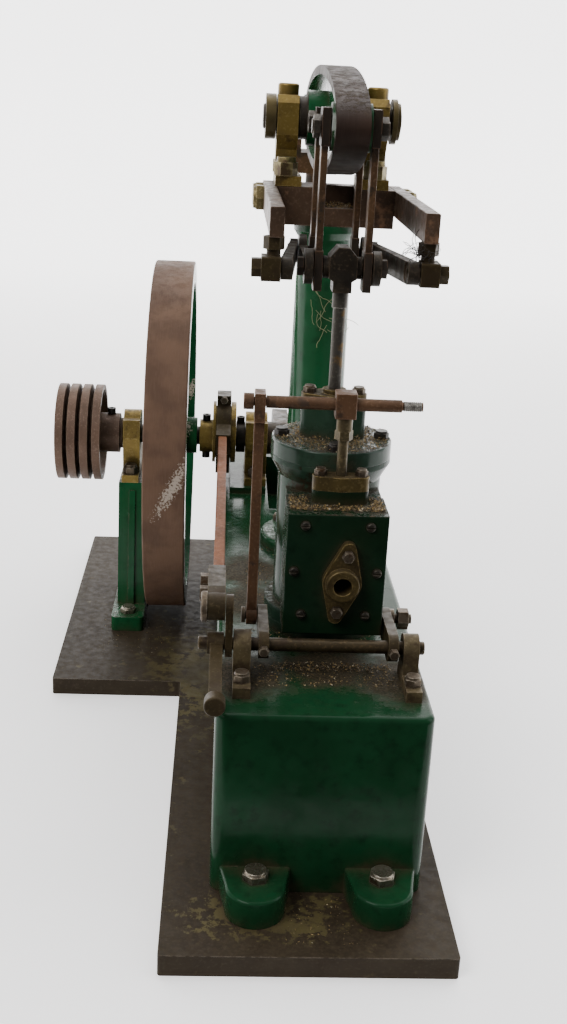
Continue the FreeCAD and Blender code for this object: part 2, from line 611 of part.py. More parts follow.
def make_eccentric_rod():
    centre = (SHAFT_Y, ECCENTRIC_Z)
    ring = rod("x", centre, 16.9, STRAP_X)
    lugs = block(STRAP_X, (SHAFT_Y - 6, SHAFT_Y + 6), (ECCENTRIC_Z - 20.6, ECCENTRIC_Z + 20.6))
    boss = prism("x", [(SHAFT_Y - 12, ECCENTRIC_Z - 9), (SHAFT_Y - 12, ECCENTRIC_Z + 9),
                       (SHAFT_Y - 24, ECCENTRIC_Z + 5), (SHAFT_Y - 24, ECCENTRIC_Z - 5)], STRAP_X)
    strap = fuse(ring, lugs, boss)
    strap = cut(strap, rod("x", centre, SHEAVE_R + RUNNING, (-60, -20)))
    front = block((-60, -20), (0, SHAFT_Y), (60, 140))
    back = block((-60, -20), (SHAFT_Y, 140), (60, 140))
    model["eccentric_strap"] = [strap.common(front), strap.common(back)]
    middle = sum(STRAP_X) / 2
    places = [(middle, ECCENTRIC_Z + side * 18.6) for side in SIDES]
    add_bolts("eccentric_bolts", ["eccentric_strap"], "y", places, SHAFT_Y - 6, -1, 3.6, 2.2, 1.0, 11.8)

    start = SHAFT_Y - 24
    end = -112.0
    outline = [(start, ECCENTRIC_Z - 4.4), (start, ECCENTRIC_Z + 4.4), (end, 108.0), (end, 100.6)]
    shank = prism("x", outline, ROD_X)
    model["eccentric_rod"] = rounded(shank, 0.6, lambda e: e.BoundBox.YLength > 50)

    body = prism("x", [(end, 100.0), (end, 109.6), (-133, 110.2), (-139, 109), (-134, 100.2)], GAB_X)
    eye = rod("x", GAB_EYE, 4.9, GAB_X)
    model["gab"] = fuse(body, eye)
    studs = model["eccentric_bolts"]
    for y, z in ((-116.5, 105.0), (-128.0, 105.0)):
        head = hexagon("x", (y, z), 5.0, (GAB_X[0] - 2.8, GAB_X[0]))
        shank = rod("x", (y, z), 1.2, (GAB_X[0] - 0.2, GAB_X[1] - 1.5))
        studs.append(fuse(head, shank))
        drill("gab", rod("x", (y, z), 1.2 + RUNNING, (GAB_X[0] - 1, GAB_X[1] - 1.3)))
    disc = rod("x", GAB_EYE, 5.4, (GAB_X[0] - 2.2, GAB_X[0]))
    disc = rounded(disc, 0.8, lambda e: e.BoundBox.XMax < GAB_X[0] - 2.1)
    pin = rod("x", GAB_EYE, 2.2, (GAB_X[0] - 0.2, GAB_X[1]))
    studs.append(fuse(disc, pin))
    drill("gab", rod("x", GAB_EYE, 2.2 + RUNNING, (GAB_X[0] - 1, GAB_X[1] + 1)))


# ---- rocker shaft and its arms ------------------------------------------------
ROCKER_X = (-47.6, 33.0)
BRACKET_X = ((-35.1, -28.9), (25.1, 30.7))
DRIVE_ARM_X = (-38.1, -35.5)
LEFT_ARM_X = (-26.2, -22.6)
RIGHT_ARM_X = (19.7, 23.3)
LINK_X = (-30.3, -26.5)


def make_rocker():
    centre = (ROCKER_Y, ROCKER_Z)
    shaft = rod("x", centre, ROCKER_R, ROCKER_X)
    model["rocker_shaft"] = rounded(shaft, 0.5, lambda e: e.BoundBox.XLength < 0.01)
    model["rocker_brackets"] = []
    for x in BRACKET_X:
        foot = block(x, (ROCKER_Y - 17.7, ROCKER_Y + 6.3), (BED_TOP, BED_TOP + 4))
        post = bar("x", centre, (ROCKER_Y, BED_TOP + 8), 5.2, 5.2, x)
        post = fuse(post, block(x, (ROCKER_Y - 5.2, ROCKER_Y + 5.2), (BED_TOP, BED_TOP + 8)))
        bracket = cut(fuse(foot, post), rod("x", centre, ROCKER_R + RUNNING, (x[0] - 1, x[1] + 1)))
        model["rocker_brackets"].append(bracket)
    places = [(sum(x) / 2, ROCKER_Y - 11.8) for x in BRACKET_X]
    hosts = ["rocker_brackets", "bed"]
    add_bolts("bed_top_bolts", hosts, "z", places, BED_TOP + 4, 1, 5.4, 3.6, 1.4, 8.0, 30)

    arms = []
    clamp_screws = []
    eye = (VALVE_Y, ROCKER_Z)
    seat = ROCKER_Y - 5
    for x in (LEFT_ARM_X, RIGHT_ARM_X):
        at = (sum(x) / 2, ROCKER_Z)
        arm = bar("x", centre, eye, 5.0, 4.0, x)
        flat = block(x, (seat - 1, seat), (ROCKER_Z - 3, ROCKER_Z + 3))
        shaft_bore = rod("x", centre, ROCKER_R, x)
        eye_bore = rod("x", eye, 1.8, x)
        arms.append(cut(arm, shaft_bore, eye_bore, flat, hole("y", at, seat, -1, 1.0, 2.4)))
        clamp_screws.append(bolt("y", at, seat, -1, 3.4, 2.4, 1.0, 2.4))
    drive = bar("x", centre, GAB_EYE, 5.0, 4.4, DRIVE_ARM_X)
    arms.append(cut(drive, rod("x", centre, ROCKER_R, DRIVE_ARM_X)))
    model["rocker_arms"] = arms

    link_pin = rod("x", eye, 1.8, (LINK_X[0] - 0.4, LEFT_ARM_X[1]))
    link_head = rod("x", eye, 3.0, (LINK_X[0] - 1.8, LINK_X[0] - 0.4))
    spare_pin = rod("x", eye, 1.8, (RIGHT_ARM_X[0], 31.6))
    washer = rod("x", eye, 3.6, (RIGHT_ARM_X[1], 25.0))
    brass_nut = hexagon("x", eye, 7.0, (26.4, 30.4))
    brass_nut = cut(brass_nut, rod("x", eye, 1.8, (20, 40)))
    model["rocker_pins"] = [fuse(link_pin, link_head), fuse(spare_pin, washer), brass_nut] + clamp_screws

    lever_x = (-43.3, -38.9)
    hub = rod("x", centre, 4.0, (GAB_X[0] + APART, GAB_X[1]))
    grip = prism("x", [(ROCKER_Y, 88.2), (ROCKER_Y, 92.8), (-169.6, 86.4), (-169.6, 83.2)], lever_x)
    knob = rod("y", (sum(lever_x) / 2, 84.6), 3.6, (-175.0, -169.3))
    knob = rounded(knob, 0.7, lambda e: e.BoundBox.YLength < 0.01)
    model["hand_lever"] = cut(fuse(hub, grip, knob), rod("x", centre, ROCKER_R, (-60, 60)))


# ---- valve, its rod and link --------------------------------------------------
def make_valve():
    across = (VALVE_X, VALVE_Y)
    stem = rod("z", across, VALVE_ROD_R, (CHEST_Z[0] + 6.0, 168.0))
    nut = hexagon("z", across, 5.7, (159.8, 163.1))
    neck = rod("z", across, 2.9, (163.1, 168.0))
    model["valve_rod"] = fuse(stem, nut, neck)
    face = PORT_FACE_Y - APART
    middle = sum(BARREL_Z) / 2
    slide = block((VALVE_X - 9, VALVE_X + 9), (VALVE_Y - 2.8, face), (middle - 9.5, middle + 9.5))
    hollow = block((VALVE_X - 7, VALVE_X + 7), (face - 2.2, face + 1), (middle - 5.5, middle + 5.5))
    model["slide_valve"] = cut(slide, hollow, rod("z", across, VALVE_ROD_R, (90, 140)))
    head = block((VALVE_X - 3.7, VALVE_X + 3.7), (VALVE_Y - 3.9, VALVE_Y + 3.9), (168.0, 177.0))
    head = rounded(head, 0.6, lambda e: runs_along(e, "z"))
    crossbar = rod("x", (VALVE_Y, CROSSBAR_Z), 2.25, (-26.2, 21.7))
    left_end = rod("x", (VALVE_Y, CROSSBAR_Z), 1.6, (-34.0, -26.0))
    knob = rod("x", (VALVE_Y, CROSSBAR_Z), 2.9, (-34.2, LINK_X[0] - APART))
    right_end = rod("x", (VALVE_Y, CROSSBAR_Z), 1.6, (21.0, 29.2))
    model["valve_crosshead"] = fuse(head, crossbar, left_end, right_end, knob)

    foot = (VALVE_Y, ROCKER_Z)
    top = (VALVE_Y, CROSSBAR_Z)
    low_eye = rod("x", foot, 3.6, LINK_X)
    shank = block((LINK_X[0] + 0.1, LINK_X[1] - 0.1), (VALVE_Y - 2.2, VALVE_Y + 2.2), (ROCKER_Z, CROSSBAR_Z))
    head = block(LINK_X, (VALVE_Y - 4.0, VALVE_Y + 4.0), (CROSSBAR_Z - 6.8, CROSSBAR_Z + 3.6))
    link = fuse(low_eye, shank, head)
    model["valve_link"] = cut(link, rod("x", foot, 1.8 + RUNNING, (-60, 0)), rod("x", top, 2.1, (-60, 0)))


make_shaft_supports()
make_crankshaft()
make_eccentric_rod()
make_rocker()
make_valve()


# ---- beam ---------------------------------------------------------------------
BEAM_REACH = 98.0
BEAM_RISE = 21.0
RIM_HALF = 6.0
RIM_THICK = 3.6
WEB_HALF = 2.2
HUB_HALF = 10.5
END_PIN_R = 2.5
LINK_X_SPAN = {"main": (7.4, 10.4), "back": (6.7, 9.7)}
BAR_SPAN = (10.8, 13.8)
RADIUS_SPAN = (14.2, 17.1)


def mirrored(span, side):
    return tuple(sorted((side * span[0], side * span[1])))


def ellipse(reach, rise, span):
    major = FreeCAD.Vector(span[0], reach, BEAM_Z)
    minor = FreeCAD.Vector(span[0], 0, BEAM_Z + rise)
    curve = Part.Ellipse(major, minor, FreeCAD.Vector(span[0], 0, BEAM_Z))
    face = Part.Face(Part.Wire(curve.toShape()))
    return face.extrude(FreeCAD.Vector(span[1] - span[0], 0, 0))


def make_beam():
    rim = ellipse(BEAM_REACH, BEAM_RISE, (-RIM_HALF, RIM_HALF))
    rim = rim.cut(ellipse(BEAM_REACH - RIM_THICK, BEAM_RISE - RIM_THICK, (-RIM_HALF - 1, RIM_HALF + 1)))
    web = ellipse(BEAM_REACH - 1, BEAM_RISE - 1, (-WEB_HALF, WEB_HALF))
    hub = rod("x", (0, BEAM_Z), 11.0, (-HUB_HALF, HUB_HALF))
    ends = [rod("x", (side * BEAM_ARM, BEAM_Z), 8.2, (-7, 7)) for side in SIDES]
    back = rod("x", (-BACK_ARM, BEAM_Z), 6.0, (-6.4, 6.4))
    beam = fuse(rim, web, hub, back, *ends)
    bores = [rod("x", (0, BEAM_Z), 5.0, (-20, 20)), rod("x", (-BACK_ARM, BEAM_Z), 2.0, (-20, 20))]
    bores += [rod("x", (side * BEAM_ARM, BEAM_Z), END_PIN_R, (-20, 20)) for side in SIDES]
    model["beam"] = cut(beam, *bores)

    shaft = rod("x", (0, BEAM_Z), 5.0, (-28.6, 28.6))
    model["trunnion_shaft"] = rounded(shaft, 0.8, lambda e: e.BoundBox.XLength < 0.01)
    bore = rod("x", (0, BEAM_Z), 5.0, (-60, 60))
    collars = [rod("x", (0, BEAM_Z), 8.6, mirrored((HUB_HALF, 13.8), side)).cut(bore) for side in SIDES]
    left_disc = rod("x", (0, BEAM_Z), 9.0, (-27.6, -23.3))
    right_disc = fuse(rod("x", (0, BEAM_Z), 9.0, (24.5, 26.6)), rod("x", (0, BEAM_Z), 7.4, (24.4, 28.0)))
    model["trunnion_collars"] = collars + [left_disc.cut(bore), right_disc.cut(bore)]

    pins = [rod("x", (side * BEAM_ARM, BEAM_Z), END_PIN_R, (-13.6, 13.6)) for side in SIDES]
    pins.append(rod("x", (-BACK_ARM, BEAM_Z), 2.0, (-12.0, 12.0)))
    nuts = []
    pin_table = ((-BEAM_ARM, END_PIN_R, 10.7), (BEAM_ARM, END_PIN_R, 10.7), (-BACK_ARM, 2.0, 10.0))
    for y, radius, start in pin_table:
        for side in SIDES:
            span = mirrored((start, start + 2.4), side)
            nuts.append(hexagon("x", (y, BEAM_Z), 7.0, span, 30).cut(rod("x", (y, BEAM_Z), radius, span)))
    model["beam_pins"] = pins + nuts


# ---- parallel motion ----------------------------------------------------------
def make_link(y, span, side, half, top_half, top_rise, tail, bore, pin_end):
    """One hanging link, with the pin that is riveted into its foot."""
    x = mirrored(span, side)
    thin = mirrored((span[0] + 0.3, span[1] - 0.3), side)
    shank = block(thin, (y - half, y + half), (PARALLEL_Z, BEAM_Z))
    shank = rounded(shank, 0.4, lambda e: runs_along(e, "z"))
    head = block(x, (y - top_half, y + top_half), (BEAM_Z - top_rise, BEAM_Z + top_rise))
    foot = block(x, (y - top_half + 0.5, y + top_half - 0.5), (PARALLEL_Z - tail, PARALLEL_Z + 6))
    pin = rod("x", (y, PARALLEL_Z), 2.0, mirrored((span[0] + 1, pin_end), side))
    return cut(fuse(shank, head, foot, pin), rod("x", (y, BEAM_Z), bore + RUNNING, (-30, 30)))


def make_parallel_motion():
    span = LINK_X_SPAN["main"]
    model["main_links"] = [make_link(-BEAM_ARM, span, s, 3.4, 5.0, 6.4, 8.2, END_PIN_R, 15.6) for s in SIDES]
    span = LINK_X_SPAN["back"]
    model["back_links"] = [make_link(-BACK_ARM, span, s, 2.8, 4.2, 5.4, 6.0, 2.0, 13.8) for s in SIDES]
    bore = rod("x", (-BEAM_ARM, PARALLEL_Z), 2.0, (-30, 30))
    nut_span = (BAR_SPAN[1] + APART, 16.2)
    nuts = [hexagon("x", (-BEAM_ARM, PARALLEL_Z), 6.4, mirrored(nut_span, side)) for side in SIDES]
    model["main_links"] += [nut.cut(bore) for nut in nuts]

    a = (-BEAM_ARM, PARALLEL_Z)
    b = (-BACK_ARM, PARALLEL_Z)
    bars = []
    for side in SIDES:
        x = mirrored(BAR_SPAN, side)
        middle = block(x, (-BEAM_ARM, -BACK_ARM), (PARALLEL_Z - 2.8, PARALLEL_Z + 2.8))
        eyes = [rod("x", at, 6.3, x) for at in (a, b)]
        bores = [rod("x", at, 2.0 + RUNNING, (-30, 30)) for at in (a, b)]
        bars.append(cut(fuse(middle, *eyes), *bores))
    model["parallel_bars"] = bars

    rods = []
    for side in SIDES:
        near = mirrored(RADIUS_SPAN, side)
        block_face = abs(PIVOT_BLOCK_X[side][1 if side < 0 else 0])
        far = (block_face - APART - 4.1, block_face - APART)
        d_eye = rod("x", b, 4.6, near)
        e_eye = rod("x", (PIVOT_Y, PARALLEL_Z), 4.1, mirrored(far, side))
        inner = [(side * RADIUS_SPAN[0], -BACK_ARM), (side * RADIUS_SPAN[1], -BACK_ARM),
                 (side * far[1], PIVOT_Y), (side * far[0], PIVOT_Y)]
        slant = prism("z", inner, (PARALLEL_Z - 4.0, PARALLEL_Z + 4.0))
        slant = slant.cut(rod("x", (PIVOT_Y, PARALLEL_Z), 3.9, (-60, 60)))
        head = rod("x", b, 2.6, mirrored((RADIUS_SPAN[1] - 1, RADIUS_SPAN[1] + 1), side))
        arm = fuse(d_eye, e_eye, slant, head)
        rods.append(arm.cut(rod("x", (PIVOT_Y, PARALLEL_Z), 1.9 + RUNNING, (-60, 60))))
    model["radius_rods"] = rods


# ---- piston and crosshead -----------------------------------------------------
PISTON_HALF = 4.0


def make_piston():
    centre = (0, CYLINDER_Y)
    middle = sum(BARREL_Z) / 2
    piston = rod("z", centre, BORE / 2 - RUNNING, (middle - PISTON_HALF, middle + PISTON_HALF))
    rings = []
    for z in (middle - 2.2, middle + 1.0):
        span = (z, z + 1.2)
        groove = rod("z", centre, 20, span).cut(rod("z", centre, BORE / 2 - 1.2, span))
        piston = piston.cut(groove)
        ring = rod("z", centre, BORE / 2 - 0.02, span).cut(rod("z", centre, BORE / 2 - 1.2, span))
        rings.append(ring.cut(block((0, 20), (CYLINDER_Y - 0.2, CYLINDER_Y + 0.2), span)))
    model["piston"] = piston.cut(rod("z", centre, PISTON_ROD_R, (60, 140)))
    model["piston_rings"] = rings
    base = PARALLEL_Z - 8.4
    half = [(3.4, base), (3.4, base + 4), (5.0, base + 5), (5.0, base + 12.5), (2.0, base + 16)]
    outline = half + [(-x, z) for x, z in reversed(half)]
    body = prism("y", outline, (CYLINDER_Y - 5.5, CYLINDER_Y + 5.5))
    ends = rod("x", (CYLINDER_Y, PARALLEL_Z), 4.0, (-7.0, 7.0))
    head = fuse(body, ends)
    model["crosshead"] = head.cut(rod("z", centre, PISTON_ROD_R, (100, PARALLEL_Z - 4.0)))
    stem = rod("z", centre, PISTON_ROD_R, (middle - PISTON_HALF, PARALLEL_Z - 4.0))
    collar = rod("z", centre, 2.9, (base - 6.0, base))
    model["piston_rod"] = fuse(stem, collar)


# ---- connecting rod -----------------------------------------------------------
def make_connecting_rod():
    """Built upright below the beam's rear pin, then swung to the crank pin."""
    top = FreeCAD.Vector(0, BEAM_ARM, BEAM_Z)
    reach = FreeCAD.Vector(0, CRANK_PIN_Y - BEAM_ARM, CRANK_PIN_Z - BEAM_Z)
    length = reach.Length
    swing = math.degrees(math.atan2(reach.y, -reach.z))
    big = (BEAM_ARM, BEAM_Z - length)

    tines = []
    for side in SIDES:
        x = mirrored(LINK_X_SPAN["main"], side)
        tine = bar("x", (BEAM_ARM, BEAM_Z), (BEAM_ARM, BEAM_Z - 20), 5.6, 4.4, x)
        tines.append(tine)
    bridge = block((-10.4, 10.4), (BEAM_ARM - 4.4, BEAM_ARM + 4.4), (BEAM_Z - 28, BEAM_Z - 18))
    shank = cone("z", (0, BEAM_ARM), (3.6, 4.2), (big[1] + 10, BEAM_Z - 27))
    palm = block((-5.0, 5.0), (BEAM_ARM - 9, BEAM_ARM + 9), (big[1] + 7, big[1] + 11))
    conrod = fuse(shank, bridge, palm, *tines)
    conrod = conrod.cut(rod("x", (BEAM_ARM, BEAM_Z), END_PIN_R + RUNNING, (-30, 30)))

    brass = block((-5.0, 5.0), (BEAM_ARM - 9, BEAM_ARM + 9), (big[1] - 7, big[1] + 7))
    brass = brass.cut(rod("x", big, 3.5 + RUNNING, (-10, 10)))
    upper = brass.common(block((-9, 9), (0, 200), (big[1], 300)))
    lower = brass.common(block((-9, 9), (0, 200), (0, big[1])))
    halves = [upper, lower]
    pin = rod("x", big, 3.5, (-6.2, 8.4))
    pin = fuse(pin, hexagon("x", big, 9.0, (5.3, 8.4)))
    bolts = []
    for side in SIDES:
        at = (0, BEAM_ARM + side * 6.4)
        bolts.append(bolt("z", at, big[1] + 11, 1, 4.4, 2.6, 1.2, 17.4))
        way = hole("z", at, big[1] + 11, 1, 1.2, 18.2)
        conrod = conrod.cut(way)
        halves = [half.cut(way) for half in halves]
    pieces = {"connecting_rod": [conrod], "big_end": halves + bolts, "crank_pin": [pin]}
    for name, solids in pieces.items():
        for solid in solids:
            solid.rotate(top, DIRECTION["x"], swing)
        model[name] = solids


make_beam()
make_parallel_motion()
make_piston()
make_connecting_rod()

os.makedirs("parts", exist_ok=True)
for node, made in model.items():
    solids = made if isinstance(made, list) else [made]
    whole = Part.makeCompound(solids) if len(solids) > 1 else solids[0]
    whole.exportStep(f"parts/{node}.step")
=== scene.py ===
import math
import random

import bpy
from mathutils import Matrix, Vector


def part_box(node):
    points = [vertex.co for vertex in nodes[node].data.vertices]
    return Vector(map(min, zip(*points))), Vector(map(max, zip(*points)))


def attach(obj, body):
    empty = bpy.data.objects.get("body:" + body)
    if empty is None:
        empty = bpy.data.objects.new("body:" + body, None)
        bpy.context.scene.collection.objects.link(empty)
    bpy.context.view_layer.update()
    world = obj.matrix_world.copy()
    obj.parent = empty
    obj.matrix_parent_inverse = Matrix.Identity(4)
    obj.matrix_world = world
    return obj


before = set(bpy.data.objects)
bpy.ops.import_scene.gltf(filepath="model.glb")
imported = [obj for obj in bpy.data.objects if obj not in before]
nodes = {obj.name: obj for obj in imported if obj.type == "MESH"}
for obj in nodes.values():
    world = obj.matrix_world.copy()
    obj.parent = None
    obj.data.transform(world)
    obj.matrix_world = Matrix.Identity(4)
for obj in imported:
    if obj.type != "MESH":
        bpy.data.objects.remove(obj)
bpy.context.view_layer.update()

MM = 0.001

# Places read from the CAD frame, in metres
WHEEL_LOW, WHEEL_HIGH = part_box("flywheel")
WHEEL_CENTRE = (WHEEL_LOW + WHEEL_HIGH) / 2
WHEEL_R = (WHEEL_HIGH.z - WHEEL_LOW.z) / 2
BEAM_LOW, BEAM_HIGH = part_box("beam")
BEAM_CENTRE = (BEAM_LOW + BEAM_HIGH) / 2
BED_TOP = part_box("column")[0].z
PLATE_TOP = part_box("base_plate")[1].z


# ---- material building --------------------------------------------------------
class Finish:
    """A node material: helpers that add one node each and return its output socket."""

    def __init__(self, name):
        self.material = bpy.data.materials.new(name)
        self.material.use_nodes = True
        self.tree = self.material.node_tree
        self.tree.nodes.clear()
        self.place = self.add("ShaderNodeTexCoord")
        self.shader = self.add("ShaderNodeBsdfPrincipled")
        output = self.add("ShaderNodeOutputMaterial")
        self.join(self.shader.outputs["BSDF"], output.inputs["Surface"])

    def add(self, kind, **settings):
        node = self.tree.nodes.new(kind)
        for key, value in settings.items():
            setattr(node, key, value)
        return node

    def join(self, source, target):
        self.tree.links.new(source, target)

    def feed(self, target, value):
        """Links a socket, or sets a plain number or colour."""
        if isinstance(value, bpy.types.NodeSocket):
            self.join(value, target)
        elif isinstance(value, (int, float)):
            target.default_value = value
        else:
            target.default_value = (*value, 1.0)

    def noise(self, per_mm, detail=4.0, stretch=(1, 1, 1), rough=0.55, shift=0.0):
        """Noise in the object's own space; per_mm is how many features fit in a millimetre."""
        mapping = self.add("ShaderNodeMapping")
        mapping.inputs["Scale"].default_value = stretch
        mapping.inputs["Location"].default_value = (shift, shift * 0.7, shift * 1.3)
        self.join(self.place.outputs["Object"], mapping.inputs["Vector"])
        node = self.add("ShaderNodeTexNoise")
        node.inputs["Scale"].default_value = per_mm * 1000
        node.inputs["Detail"].default_value = detail
        node.inputs["Roughness"].default_value = rough
        self.join(mapping.outputs["Vector"], node.inputs["Vector"])
        return node.outputs["Fac"]

    def band(self, value, low, high, out_low=0.0, out_high=1.0):
        """Stretches the range low..high of a value to out_low..out_high, clamped."""
        node = self.add("ShaderNodeMapRange", interpolation_type="SMOOTHSTEP")
        self.feed(node.inputs["Value"], value)
        for key, number in (("From Min", low), ("From Max", high), ("To Min", out_low), ("To Max", out_high)):
            node.inputs[key].default_value = number
        return node.outputs["Result"]

    def calc(self, operation, a, b=0.0):
        node = self.add("ShaderNodeMath", operation=operation)
        self.feed(node.inputs[0], a)
        self.feed(node.inputs[1], b)
        return node.outputs[0]

    def blend(self, amount, a, b):
        node = self.add("ShaderNodeMix", data_type="RGBA")
        self.feed(node.inputs["Factor"], amount)
        self.feed(node.inputs["A"], a)
        self.feed(node.inputs["B"], b)
        return node.outputs["Result"]

    def coordinate(self, axis):
        node = self.add("ShaderNodeSeparateXYZ")
        self.join(self.place.outputs["Object"], node.inputs[0])
        return node.outputs[axis]

    def facing(self, axis):
        """How far the surface faces an axis of the object: 1 along it, -1 against it."""
        node = self.add("ShaderNodeSeparateXYZ")
        self.join(self.place.outputs["Normal"], node.inputs[0])
        return node.outputs[axis]

    def corner_shade(self, reach_mm, low=0.35, high=0.95):
        """Painted shade with grime: 1 deep in a corner, 0 in the open, from ambient occlusion."""
        node = self.add("ShaderNodeAmbientOcclusion", samples=4, only_local=False)
        node.inputs["Distance"].default_value = reach_mm * MM
        return self.band(node.outputs["AO"], low, high, 1.0, 0.0)

    def bump(self, height, depth_mm, strength=1.0, onto=None):
        node = self.add("ShaderNodeBump")
        node.inputs["Strength"].default_value = strength
        node.inputs["Distance"].default_value = depth_mm * MM
        self.feed(node.inputs["Height"], height)
        if onto is not None:
            self.join(onto, node.inputs["Normal"])
        return node.outputs["Normal"]

    def soft_edges(self, radius_mm):
        node = self.add("ShaderNodeBevel", samples=4)
        node.inputs["Radius"].default_value = radius_mm * MM
        return node.outputs["Normal"]

    def edge_mask(self, radius_mm):
        """1 on sharp edges, where the rounded normal leaves the true one."""
        rounded = self.soft_edges(radius_mm)
        true = self.add("ShaderNodeNewGeometry")
        dot = self.add("ShaderNodeVectorMath", operation="DOT_PRODUCT")
        self.join(rounded, dot.inputs[0])
        self.join(true.outputs["Normal"], dot.inputs[1])
        return self.band(dot.outputs["Value"], 0.80, 0.985, 1.0, 0.0)

    def finish(self, colour, metallic, roughness, normal):
        self.feed(self.shader.inputs["Base Color"], colour)
        self.feed(self.shader.inputs["Metallic"], metallic)
        self.feed(self.shader.inputs["Roughness"], roughness)
        self.join(normal, self.shader.inputs["Normal"])
        return self.material


DUST = (0.052, 0.039, 0.023)
# Corner colours, laid on through ambient occlusion: grime and oil together with painted shade.
GRIME_AND_SHADE = (0.030, 0.022, 0.014)
OIL_AND_SHADE = (0.045, 0.032, 0.018)


def metal(name, tones, metallic=0.75, rough=(0.32, 0.55), grain=(1, 1, 1), patch=None, patch_amount=0.5,
          edge=None, grime_and_shade_amount=0.7, dust=0.0, pit=0.06, other=None, specular=0.2):
    """Old machined metal: mottled tones, tool marks, tarnish patches, worn edges, and grime with painted
    shade in corners.
    """
    f = Finish(name)
    cloud = f.band(f.noise(0.05, 5.0), 0.35, 0.68)
    colour = f.blend(cloud, tones[0], tones[1])
    speck = f.band(f.noise(0.9, 3.0, shift=3.0), 0.52, 0.70, 0.0, 0.55)
    colour = f.blend(speck, colour, tones[2])
    marks = f.noise(1.6, 3.0, stretch=grain, shift=1.7)
    colour = f.blend(f.band(marks, 0.4, 0.75, 0.0, 0.35), colour, tones[0])
    if patch:
        spread = 0.62 - 0.25 * patch_amount
        mask = f.band(f.noise(0.12, 6.0, rough=0.65, shift=7.0), spread, spread + 0.12)
        colour = f.blend(mask, colour, patch)
    if other:
        where, second = other
        colour = f.blend(where(f), colour, f.blend(cloud, second[0], second[1]))
    if edge:
        worn = f.calc("MULTIPLY", f.edge_mask(0.7), f.band(f.noise(0.35, 4.0, shift=9.0), 0.35, 0.6))
        colour = f.blend(worn, colour, edge)
    # Grime with painted shade: corners darkened through ambient occlusion.
    grime_and_shade = f.calc("MULTIPLY", f.corner_shade(4.0), f.band(f.noise(0.3, 4.0, shift=5.0), 0.25, 0.6, 0.4, 1.0))
    grime_and_shade = f.calc("MULTIPLY", grime_and_shade, grime_and_shade_amount)
    colour = f.blend(grime_and_shade, colour, GRIME_AND_SHADE)
    gloss = f.band(f.noise(0.25, 4.0, shift=2.0), 0.3, 0.7, rough[0], rough[1])
    gloss = f.calc("ADD", gloss, f.calc("MULTIPLY", grime_and_shade, 0.2))
    if dust:
        level = f.band(f.facing("Z"), 0.55, 0.9)
        grit = f.band(f.noise(0.5, 6.0, rough=0.7, shift=11.0), 0.42, 0.62, 0.0, dust)
        grains = f.calc("MULTIPLY", level, grit)
        colour = f.blend(grains, colour, DUST)
        gloss = f.calc("ADD", gloss, f.calc("MULTIPLY", grains, 0.35))
    normal = f.soft_edges(0.25)
    normal = f.bump(marks, 0.02, 0.6, normal)
    normal = f.bump(f.noise(0.8, 5.0, rough=0.7), pit, 0.5, normal)
    f.shader.inputs["Specular IOR Level"].default_value = specular
    return f.finish(colour, metallic, gloss, normal)


GREEN = ((0.0055, 0.050, 0.017), (0.0070, 0.062, 0.022), (0.0035, 0.030, 0.011))
BED_GREEN = ((0.0040, 0.024, 0.009), (0.0050, 0.034, 0.013), (0.0030, 0.014, 0.006))


